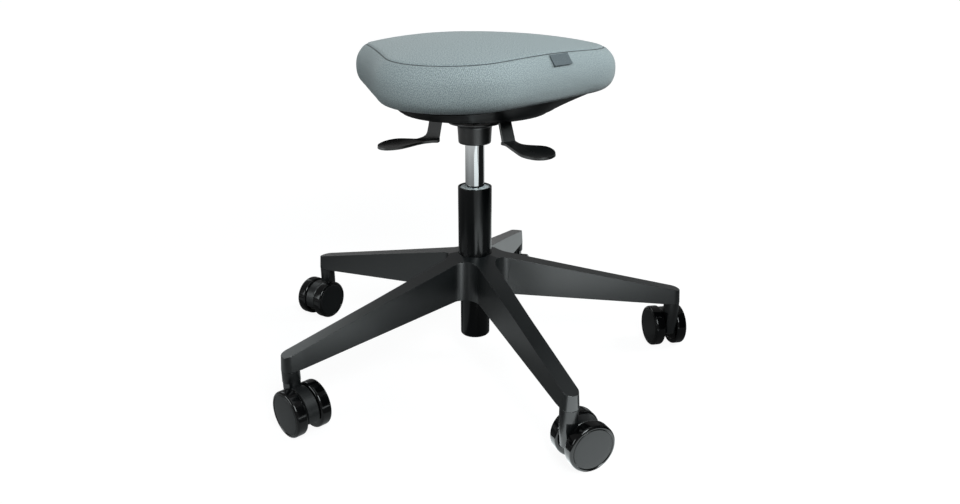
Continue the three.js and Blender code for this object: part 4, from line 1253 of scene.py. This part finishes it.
@dataclass
class SeatShell:
    """The moulded shell under the cushion: a round dish that opens out to the seat's outline."""

    outline: SeatOutline
    floor_radius: float = 106.0
    rim_inset: float = 26.5
    rim_width: float = 6.0
    wall: float = 3.0
    opening: float = 70.0

    def build(self) -> bmesh.types.BMesh:
        """Models the shell's outside and inside as one closed skin.

        Returns:
            The closed mesh.
        """
        rise = SHELL_RIM - SHELL_FLOOR
        inner_floor = SHELL_FLOOR + self.wall
        rings = [self.outline.bowl(self.opening, self.rim_inset, 0, SHELL_FLOOR + 0.5)]
        rings.append(self.outline.bowl(self.opening + 0.5, self.rim_inset, 0, SHELL_FLOOR))
        rings.append(self.outline.bowl(self.floor_radius - 3.5, self.rim_inset, 0, SHELL_FLOOR))
        rings.append(self.outline.bowl(self.floor_radius - 1.4, self.rim_inset, 0, SHELL_FLOOR + 0.5))
        rings.append(self.outline.bowl(self.floor_radius, self.rim_inset, 0.005, SHELL_FLOOR + 2))
        for share in (0.15, 0.28, 0.42, 0.56, 0.7, 0.84, 0.95):
            rings.append(self.outline.bowl(self.floor_radius, self.rim_inset, share, SHELL_FLOOR + rise * share))
        rings.append(self.outline.bowl(self.floor_radius, self.rim_inset, 1, SHELL_RIM - 0.6))
        rings.append(self.outline.bowl(self.floor_radius, self.rim_inset + 0.8, 1, SHELL_RIM))
        inset = self.rim_inset + self.rim_width
        rings.append(self.outline.bowl(self.floor_radius, inset, 1, SHELL_RIM))
        radius = self.floor_radius - self.wall
        for share in (0.75, 0.5, 0.235, 0.0):
            height = inner_floor + (SHELL_RIM - inner_floor) * share
            rings.append(self.outline.bowl(radius, inset, share, height))
        rings.append(self.outline.bowl(self.opening, self.rim_inset, 0, inner_floor))
        rings.append(rings[0])
        mesh = skin(rings)
        return closed_up(mesh)

    def dress(self) -> None:
        """Puts the shell in place."""
        share = Share("seat", ("bottom_shell",), "shell_black")
        keep(self.build(), "seat_shell", share, [SHELL_PLASTIC.material()], ON_SEAT, 40)


@dataclass
class Cushion:
    """The padded cushion, blown up by a cloth simulation from a slightly smaller form, with its seam sunk in after."""

    outline: SeatOutline
    seam_ring: list[float] = field(default_factory=list)
    foot_inset: float = 33.5
    foot_fill: float = 12.0
    side_height: float = 31.5
    side_power: float = 2.65
    seam_rise: float = 29.4
    seam_inset: float = 18.8
    seam_fill: float = 4.8
    crown: float = 19.0
    crown_power: float = 1.8
    slack: float = 1.4
    voxel: float = 5.0
    frames: int = 20
    pressure: float = 5.0
    most_movement: float = 5.5
    seam_depth: float = 0.9
    seam_half_width: float = 1.9
    seam_dip: float = 2.2

    def wave(self, point: Vector) -> float:
        """Gives how far the seam rises over its mean height at a bearing: it dips at the corners."""
        bearing = math.atan2(point.y, point.x)
        return -self.seam_dip * math.cos(3 * (bearing + math.pi / 2))

    def ring(self, inset: float, height: float, scale: float, wave_share: float, fill: float) -> list[Vector]:
        """Gives one ring of the form.

        Args:
            inset: How far inside the widest outline the ring lies at the corners.
            height: The ring's mean height.
            scale: A further share of the reach from the column's line.
            wave_share: How much of the seam's wave lifts it.
            fill: How much further out it lies in the middle of the sides.

        Returns:
            The points.
        """
        points = self.outline.ring(inset, height, scale)
        for point in points:
            bearing = math.atan2(point.y, point.x)
            side = (1 - math.cos(3 * (bearing + math.pi / 2))) / 2
            longer = 1 + fill * scale * side / point.xy.length
            point.z += self.wave(point) * wave_share
            point.x *= longer
            point.y *= longer
        return points

    def rings(self) -> list[list[Vector]]:
        """Gives the form's rings from its underside to its crown.

        Returns:
            The rings.
        """
        fill = self.foot_fill
        rings = [self.ring(self.foot_inset, CUSHION_UNDERSIDE, scale, 0, fill) for scale in (0.3, 0.65, 0.9)]
        for index in range(12):
            share = math.cos(index / 11 * math.pi / 2)
            power = self.side_power
            drawn = 1 - (1 - share ** power) ** (1 / power)
            inset = self.foot_inset * drawn + self.slack * (1 - share)
            rings.append(self.ring(inset, CUSHION_WIDEST - self.side_height * share, 1, 0, fill * drawn))
        for share in (0.2, 0.4, 0.6, 0.8, 1.0):
            inset = self.seam_inset * share * share + self.slack * (1 - share / 2)
            height = CUSHION_WIDEST + self.seam_rise * share
            rings.append(self.ring(inset, height, 1, share * share, self.seam_fill * share * share))
        for index in range(1, 13):
            scale = math.cos(index / 13 * math.pi / 2)
            height = CUSHION_SEAM + (self.crown - self.slack) * (1 - scale ** self.crown_power)
            rings.append(self.ring(self.seam_inset + self.slack / 2, height, scale, scale ** 3, self.seam_fill))
        return rings

    def seam_reach(self, point: Vector) -> float:
        """Gives the seam's reach from the column's line at a bearing."""
        bearing = math.atan2(point.y, point.x)
        ring = self.seam_ring
        share = (bearing + math.pi) / (2 * math.pi) * len(ring)
        low = int(share) % len(ring)
        part = share - int(share)
        return ring[low] + (ring[(low + 1) % len(ring)] - ring[low]) * part

    def seam_away(self, point: Vector) -> float:
        """Gives a point's distance over the seam, measured along the cover."""
        rise = point.z - CUSHION_SEAM - self.wave(point)
        return (rise + self.seam_reach(point) - point.xy.length) / math.sqrt(2)

    def measure_seam(self) -> None:
        """Works out the seam's reach at even bearings."""
        ring = self.ring(self.seam_inset, 0, 1, 0, self.seam_fill)
        corners = sorted((math.atan2(point.y, point.x), point.xy.length) for point in ring)
        corners = [(corners[-1][0] - 2 * math.pi, corners[-1][1]), *corners, (corners[0][0] + 2 * math.pi, corners[0][1])]
        self.seam_ring = []
        for index in range(720):
            bearing = -math.pi + index / 720 * 2 * math.pi
            after = next(place for place, corner in enumerate(corners) if corner[0] > bearing)
            (first, near), (last, far) = corners[after - 1], corners[after]
            self.seam_ring.append(near + (far - near) * (bearing - first) / (last - first))

    def blown_up(self) -> bmesh.types.BMesh:
        """Runs the cloth simulation on the smaller form and gives the swollen mesh, level and in millimetres.

        Returns:
            The closed mesh, with the movement capped.
        """
        thing = scratch_object(closed_up(skin(self.rings(), True, True)), "cushion_form")
        thing.data.transform(Matrix.Scale(MILLIMETRE, 4))
        remesh = thing.modifiers.new("remesh", "REMESH")
        remesh.mode = "VOXEL"
        remesh.voxel_size = self.voxel * MILLIMETRE
        graph = bpy.context.evaluated_depsgraph_get()
        data = bpy.data.meshes.new_from_object(thing.evaluated_get(graph))
        drop(thing)
        form = bpy.data.objects.new("cushion_cloth", data)
        bpy.context.scene.collection.objects.link(form)
        self.blow(form)
        finer = form.modifiers.new("finer", "SUBSURF")
        finer.levels = finer.render_levels = 1
        mesh = taken_back(form)
        mesh.transform(Matrix.Scale(1 / MILLIMETRE, 4))
        return mesh

    def blow(self, form: bpy.types.Object) -> None:
        """Lets the cloth swell under pressure, held at its seam and its underside, and keeps the capped result."""
        data = form.data
        before = [vertex.co.copy() for vertex in data.vertices]
        held = form.vertex_groups.new(name="held")
        for vertex in data.vertices:
            point = vertex.co / MILLIMETRE
            away = abs(self.seam_away(point))
            share = max(1 - away / 9, 0) if point.xy.length > 100 else 0
            if point.z < CUSHION_UNDERSIDE + 4:
                share = 1
            held.add([vertex.index], max(share, 0.02), "REPLACE")
        cloth = form.modifiers.new("cloth", "CLOTH")
        settings = cloth.settings
        settings.quality = 6
        settings.mass = 0.01
        settings.use_pressure = True
        settings.uniform_pressure_force = self.pressure
        settings.tension_stiffness = settings.compression_stiffness = 8
        settings.shear_stiffness = 3
        settings.bending_stiffness = 0.4
        settings.vertex_group_mass = "held"
        settings.effector_weights.gravity = 0
        cloth.collision_settings.use_self_collision = False
        for step in range(1, self.frames + 1):
            bpy.context.scene.frame_set(step)
        graph = bpy.context.evaluated_depsgraph_get()
        result = form.evaluated_get(graph).to_mesh()
        limit = self.most_movement * MILLIMETRE
        after = []
        for start, vertex in zip(before, result.vertices):
            move = vertex.co - start
            size = max(move.length, 1e-9)
            after.append(start + move * (limit * math.tanh(size / limit) / size))
        form.modifiers.remove(cloth)
        for vertex, place in zip(data.vertices, after):
            vertex.co = place
        bpy.context.scene.frame_set(1)
        moves = sorted((a - b).length / MILLIMETRE for a, b in zip(after, before))
        LOG.info("cushion moved %.1f mm at most, %.1f mm in the middle", moves[-1], moves[len(moves) // 2])

    def sink_seam(self, mesh: bmesh.types.BMesh) -> None:
        """Draws the cover in along the seam and writes the distance and the weave's run on each vertex."""
        away_layer = mesh.verts.layers.float.new("seam_distance")
        run_layer = mesh.verts.layers.float_vector.new("weave_run")
        mesh.normal_update()
        moves = []
        for vertex in mesh.verts:
            point = vertex.co
            away = self.seam_away(point)
            near = abs(away) / self.seam_half_width
            moves.append(vertex.normal * -self.seam_depth * math.exp(-near * near))
            vertex[away_layer] = away * MILLIMETRE
            if away > 0 or point.z < CUSHION_UNDERSIDE + 3:
                run = Vector((point.x, point.y, 0))
            else:
                bearing = math.atan2(point.y, point.x)
                run = Vector((bearing * 170 + point.z * 0.6, point.z * 1.25 - bearing * 100, 0))
            vertex[run_layer] = run * MILLIMETRE
        for vertex, move in zip(mesh.verts, moves):
            vertex.co += move

    def dress(self) -> None:
        """Puts the cushion in place."""
        self.measure_seam()
        mesh = self.blown_up()
        self.sink_seam(mesh)
        share = Share("seat", ("cushion",), "seat_fabric")
        piece = keep(mesh, "seat_cushion", share, [SEAT_CLOTH.material()], ON_SEAT, 180)


@dataclass
class Tab:
    """The blank fabric tab that hangs from the seam on the seat's right-hand front side."""

    width: float = 36.0
    height: float = 16.0
    thickness: float = 0.9
    curl: float = 1.4
    lift: float = 2.2
    shift: float = 0.9
    columns: int = 24
    rows: int = 10

    def dress(self) -> None:
        """Makes the tab over its solid's place, curled a little at its free edge, and puts it there."""
        low, high = (Vector(corner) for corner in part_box("label_tab"))
        verts = [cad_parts["label_tab"].matrix_world @ v.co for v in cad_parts["label_tab"].data.vertices]
        unique = []
        for point in verts:
            if all((point - other).length > 1e-6 for other in unique):
                unique.append(point)
        middle = sum(unique, Vector()) / len(unique)
        LOG.info("tab middle %s box %s %s", tuple(round(v, 4) for v in middle), tuple(low), tuple(high))
        bearing = math.radians(-29.0)
        across = Vector((-math.sin(bearing), math.cos(bearing), 0))
        top = sorted(unique, key=lambda point: -point.z)[:4]
        foot = sorted(unique, key=lambda point: point.z)[:4]
        upper = sum(top, Vector()) / 4
        lower = sum(foot, Vector()) / 4
        ends = sorted(top, key=lambda point: point.dot(across))
        across = ((ends[2] + ends[3]) / 2 - (ends[0] + ends[1]) / 2).normalized()
        down = (lower - upper).normalized()
        out = down.cross(across).normalized()
        if out.xy.dot(Vector((math.cos(bearing), math.sin(bearing)))) < 0:
            out.negate()
        upper = upper - down * (self.lift * MILLIMETRE) + across * (self.shift * MILLIMETRE)
        mesh = bmesh.new()
        rows = []
        for row in range(self.rows + 1):
            share = row / self.rows
            line = []
            for column in range(self.columns + 1):
                side = 2 * column / self.columns - 1
                point = upper + across * (side * self.width / 2 * MILLIMETRE)
                point = point + down * (share * self.height * MILLIMETRE)
                point = point + out * (self.curl * share * share * (0.5 + 0.5 * side * side) * MILLIMETRE)
                line.append(mesh.verts.new(point / MILLIMETRE))
            rows.append(line)
        for row, following in zip(rows, rows[1:]):
            for index in range(self.columns):
                mesh.faces.new((row[index], row[index + 1], following[index + 1], following[index]))
        run_layer = mesh.verts.layers.float_vector.new("weave_run")
        for vertex in mesh.verts:
            offset = vertex.co * MILLIMETRE - upper
            vertex[run_layer] = Vector((offset.dot(across), offset.dot(down), 0))
        bmesh.ops.recalc_face_normals(mesh, faces=mesh.faces)
        bmesh.ops.solidify(mesh, geom=mesh.faces[:], thickness=self.thickness)
        bmesh.ops.recalc_face_normals(mesh, faces=mesh.faces)
        soften(mesh, 0.25, 2, 60)
        share = Share("seat", ("label_tab",), "tab_fabric")
        piece = keep(mesh, "seat_tab", share, [TAB_CLOTH.material()], Matrix.Identity(4), 50)


@dataclass
class HiddenParts:
    """The solids that stay as they are, each with its finish."""

    finishes: dict[str, Finish | PlyFinish] = field(default_factory=lambda: {
        "piston_rod": CHROME, "retaining_clip": STEEL, "stop_bumper": RUBBER, "rod_seal": RUBBER,
        "release_pin": STEEL, "seat_plate": MECHANISM_COAT, "seat_board": PLYWOOD,
        "bearing_lower_washer": STEEL, "bearing_ball_cage": STEEL, "bearing_upper_washer": STEEL,
        "tilt_pivot_pin_left": STEEL, "tilt_pivot_pin_right": STEEL, "height_lever_pin": STEEL, "tilt_lever_pin": STEEL,
    })

    def dress(self) -> None:
        """Gives each solid its material."""
        choices = dict(self.finishes)
        for number in range(1, LEG_COUNT + 1):
            for name in ("caster_stem", "grip_ring", "caster_axle"):
                choices[f"{name}_{number}"] = STEEL
        for number in range(1, 5):
            choices[f"seat_bolt_{number}"] = STEEL
        for name, finish in choices.items():
            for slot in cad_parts[name].material_slots:
                slot.material = finish.material()


FLOOR_CARDS = (
    ("front_card", -60, 1.2, 0.9, 1.6),
    ("near_card", -51, 0.54, 0.42, 1.2),
    ("left_card", -144, 0.38, 0.45, 0.18),
    ("back_card", 80, 0.5, 0.45, 0.42),
)


@dataclass
class Studio:
    """The pale floor, the soft lights and the camera."""

    lens: float = 27.82
    stand: tuple[float, float, float] = (0.2797, -1.0371, 0.5644)
    heading: float = 104.52
    pitch: float = 20.28
    ambient: float = 0.12
    floor_glow: float = 0.92
    # The floor's glow in gloss near the stool and far off; the low near value is painted shade round the stool in its
    # reflections
    floor_mirror: tuple[float, float] = (0.02, 0.68)
    mirror_share: float = 0.07
    lamp_color: Color = (0.93, 1.0, 1.01)

    def camera(self) -> None:
        """Sets the camera where the photograph was taken from."""
        data = bpy.data.cameras.new("camera")
        data.lens = self.lens
        data.sensor_width = 36
        data.sensor_fit = "HORIZONTAL"
        data.clip_start = 0.05
        camera = bpy.data.objects.new("camera", data)
        bpy.context.scene.collection.objects.link(camera)
        heading, pitch = math.radians(self.heading), math.radians(self.pitch)
        ahead = Vector((math.cos(heading) * math.cos(pitch), math.sin(heading) * math.cos(pitch), -math.sin(pitch)))
        camera.location = self.stand
        camera.rotation_euler = ahead.to_track_quat("-Z", "Y").to_euler()
        bpy.context.scene.camera = camera

    def lamp(
        self, name: str, place: Sequence[float], aim: Sequence[float], size: tuple[float, float], power: float,
        lights_matt: bool = True, shows_in_gloss: bool = True,
    ) -> None:
        """Adds a soft rectangular lamp that the camera doesn't see.

        Args:
            name: The lamp's name.
            place: Where it stands.
            aim: The point that it faces.
            size: Its width and height.
            power: Its power in watts.
            lights_matt: Whether it lights matt surfaces.
            shows_in_gloss: Whether glossy surfaces mirror it.
        """
        data = bpy.data.lights.new(name, "AREA")
        data.color = self.lamp_color
        data.shape = "RECTANGLE"
        data.size, data.size_y = size
        data.energy = power
        lamp = bpy.data.objects.new(name, data)
        bpy.context.scene.collection.objects.link(lamp)
        lamp.location = place
        lamp.rotation_euler = (Vector(aim) - Vector(place)).to_track_quat("-Z", "Y").to_euler()
        lamp.visible_camera = False
        lamp.visible_diffuse = lights_matt
        lamp.visible_glossy = shows_in_gloss

    def around(self, bearing: float, reach: float, height: float) -> Vector:
        """Gives a place at a bearing and a reach from the column."""
        angle = math.radians(bearing)
        return Vector((reach * math.cos(angle), reach * math.sin(angle), height))

    def floor(self) -> None:
        """Lays the pale floor, which is white to the camera and keeps the stool's shadow."""
        mesh = bmesh.new()
        bmesh.ops.create_circle(mesh, cap_ends=True, radius=30, segments=64)
        data = bpy.data.meshes.new("floor")
        mesh.to_mesh(data)
        mesh.free()
        floor = bpy.data.objects.new("floor", data)
        bpy.context.scene.collection.objects.link(floor)
        made = bpy.data.materials.new("pale_floor")
        made.use_nodes = True
        made.node_tree.nodes.clear()
        shader = Shader(made.node_tree)
        path = shader.node("ShaderNodeLightPath")
        place = shader.node("ShaderNodeTexCoord").outputs["Object"]
        reach = shader.node("ShaderNodeVectorMath", {0: place}, operation="LENGTH").outputs["Value"]
        far = shader.ramp(reach, 0.7, 2.2, (self.floor_glow, 1.0))
        mirrored = shader.math("ADD", path.outputs["Is Glossy Ray"], path.outputs["Is Transmission Ray"])
        # In gloss the floor glows faintly near the stool and more far off: painted shade round the stool in its
        # reflections
        faint = shader.math("MULTIPLY", mirrored, shader.ramp(reach, 0.75, 2.3, self.floor_mirror))
        seen = shader.math("ADD", shader.math("MULTIPLY", path.outputs["Is Camera Ray"], far), faint)
        diffuse = shader.node("ShaderNodeBsdfDiffuse", {"Color": (0.12, 0.12, 0.12, 1)})
        glow = shader.node("ShaderNodeEmission", {"Color": (1, 1, 1, 1), "Strength": seen})
        both = shader.node("ShaderNodeAddShader", {0: diffuse.outputs[0], 1: glow.outputs[0]})
        shader.node("ShaderNodeOutputMaterial", {"Surface": both.outputs[0]})
        data.materials.append(made)

    def world(self) -> None:
        """Makes the background white to the camera and softly grey to the surfaces."""
        world = bpy.data.worlds.new("studio")
        bpy.context.scene.world = world
        world.use_nodes = True
        world.node_tree.nodes.clear()
        shader = Shader(world.node_tree)
        path = shader.node("ShaderNodeLightPath")
        plain = shader.node("ShaderNodeBackground", {"Color": (1, 1, 1, 1), "Strength": self.ambient})
        white = shader.node("ShaderNodeBackground", {"Color": (1, 1, 1, 1), "Strength": 1.0})
        mirrored = shader.math("ADD", path.outputs["Is Glossy Ray"], path.outputs["Is Transmission Ray"])
        faint = shader.math("MULTIPLY", mirrored, self.mirror_share)
        mixed = shader.node("ShaderNodeMixShader", {
            0: shader.math("ADD", path.outputs["Is Camera Ray"], faint), 1: plain.outputs[0], 2: white.outputs[0],
        })
        shader.node("ShaderNodeOutputWorld", {"Surface": mixed.outputs[0]})

    def flag(self, name: str, bearing: float, reach: float, size: tuple[float, float]) -> None:
        """Stands a dark card beside the stool, which shows only in gloss, as in a product studio.

        Args:
            name: The card's name.
            bearing: Where it stands about the column, in degrees.
            reach: How far from the column.
            size: Its width and height.
        """
        mesh = bmesh.new()
        upright = Matrix.Translation(self.around(bearing, reach, size[1] / 2))
        upright = upright @ Matrix.Rotation(math.radians(bearing + 90), 4, "Z") @ Matrix.Rotation(math.pi / 2, 4, "X")
        bmesh.ops.create_grid(mesh, x_segments=1, y_segments=1, size=0.5, matrix=upright @ Matrix.Diagonal((*size, 1, 1)))
        data = bpy.data.meshes.new(name)
        mesh.to_mesh(data)
        mesh.free()
        card = bpy.data.objects.new(name, data)
        bpy.context.scene.collection.objects.link(card)
        made = bpy.data.materials.new("dark_card")
        made.use_nodes = True
        made.node_tree.nodes.clear()
        shader = Shader(made.node_tree)
        diffuse = shader.node("ShaderNodeBsdfDiffuse", {"Color": (0.03, 0.03, 0.03, 1)})
        shader.node("ShaderNodeOutputMaterial", {"Surface": diffuse.outputs[0]})
        data.materials.append(made)
        card.visible_camera = card.visible_diffuse = card.visible_shadow = False

    def build(self) -> None:
        """Makes the whole studio."""
        bpy.context.scene.view_settings.view_transform = "Standard"
        self.camera()
        self.floor()
        self.world()
        middle = (0.0, 0.0, 0.25)
        self.lamp("overhead", (0.15, -0.15, 2.0), (0, 0, 0.4), (1.3, 1.3), 3.5)
        self.lamp("front", self.around(-58, 1.5, 1.35), middle, (0.6, 0.9), 22)
        self.lamp("right", self.around(22, 1.8, 1.3), (0, 0, 0.35), (0.9, 0.9), 25)
        self.lamp("back", self.around(80, 2.2, 1.35), (0, 0, 0.3), (2.2, 0.8), 6, shows_in_gloss=False)
        self.lamp("left_back", self.around(150, 2.0, 1.1), (0, 0, 0.2), (1.0, 0.8), 4)
        self.lamp("left", self.around(-140, 1.6, 0.6), middle, (0.9, 0.6), 7)
        for name, bearing, reach, width, power in FLOOR_CARDS:
            place = self.around(bearing, reach, 0.004)
            self.lamp(name, place, place + Vector((0, 0, 1)), (width, width), power, lights_matt=False)
        self.flag("right_card", 10, 0.75, (1.2, 0.9))


def main() -> None:
    """Builds the stool's sub-assemblies in order, from the floor up, and then the studio."""
    logging.basicConfig(level=logging.INFO, format="%(message)s")
    Studio().build()
    StarBase().dress()
    Casters().dress()
    Column().dress()
    Lift().dress()
    for role in LeverRole:
        Lever(role).dress()
    outline = SeatOutline()
    SeatShell(outline).dress()
    Cushion(outline).dress()
    Tab().dress()
    HiddenParts().dress()


if __name__ == "__main__":
    main()
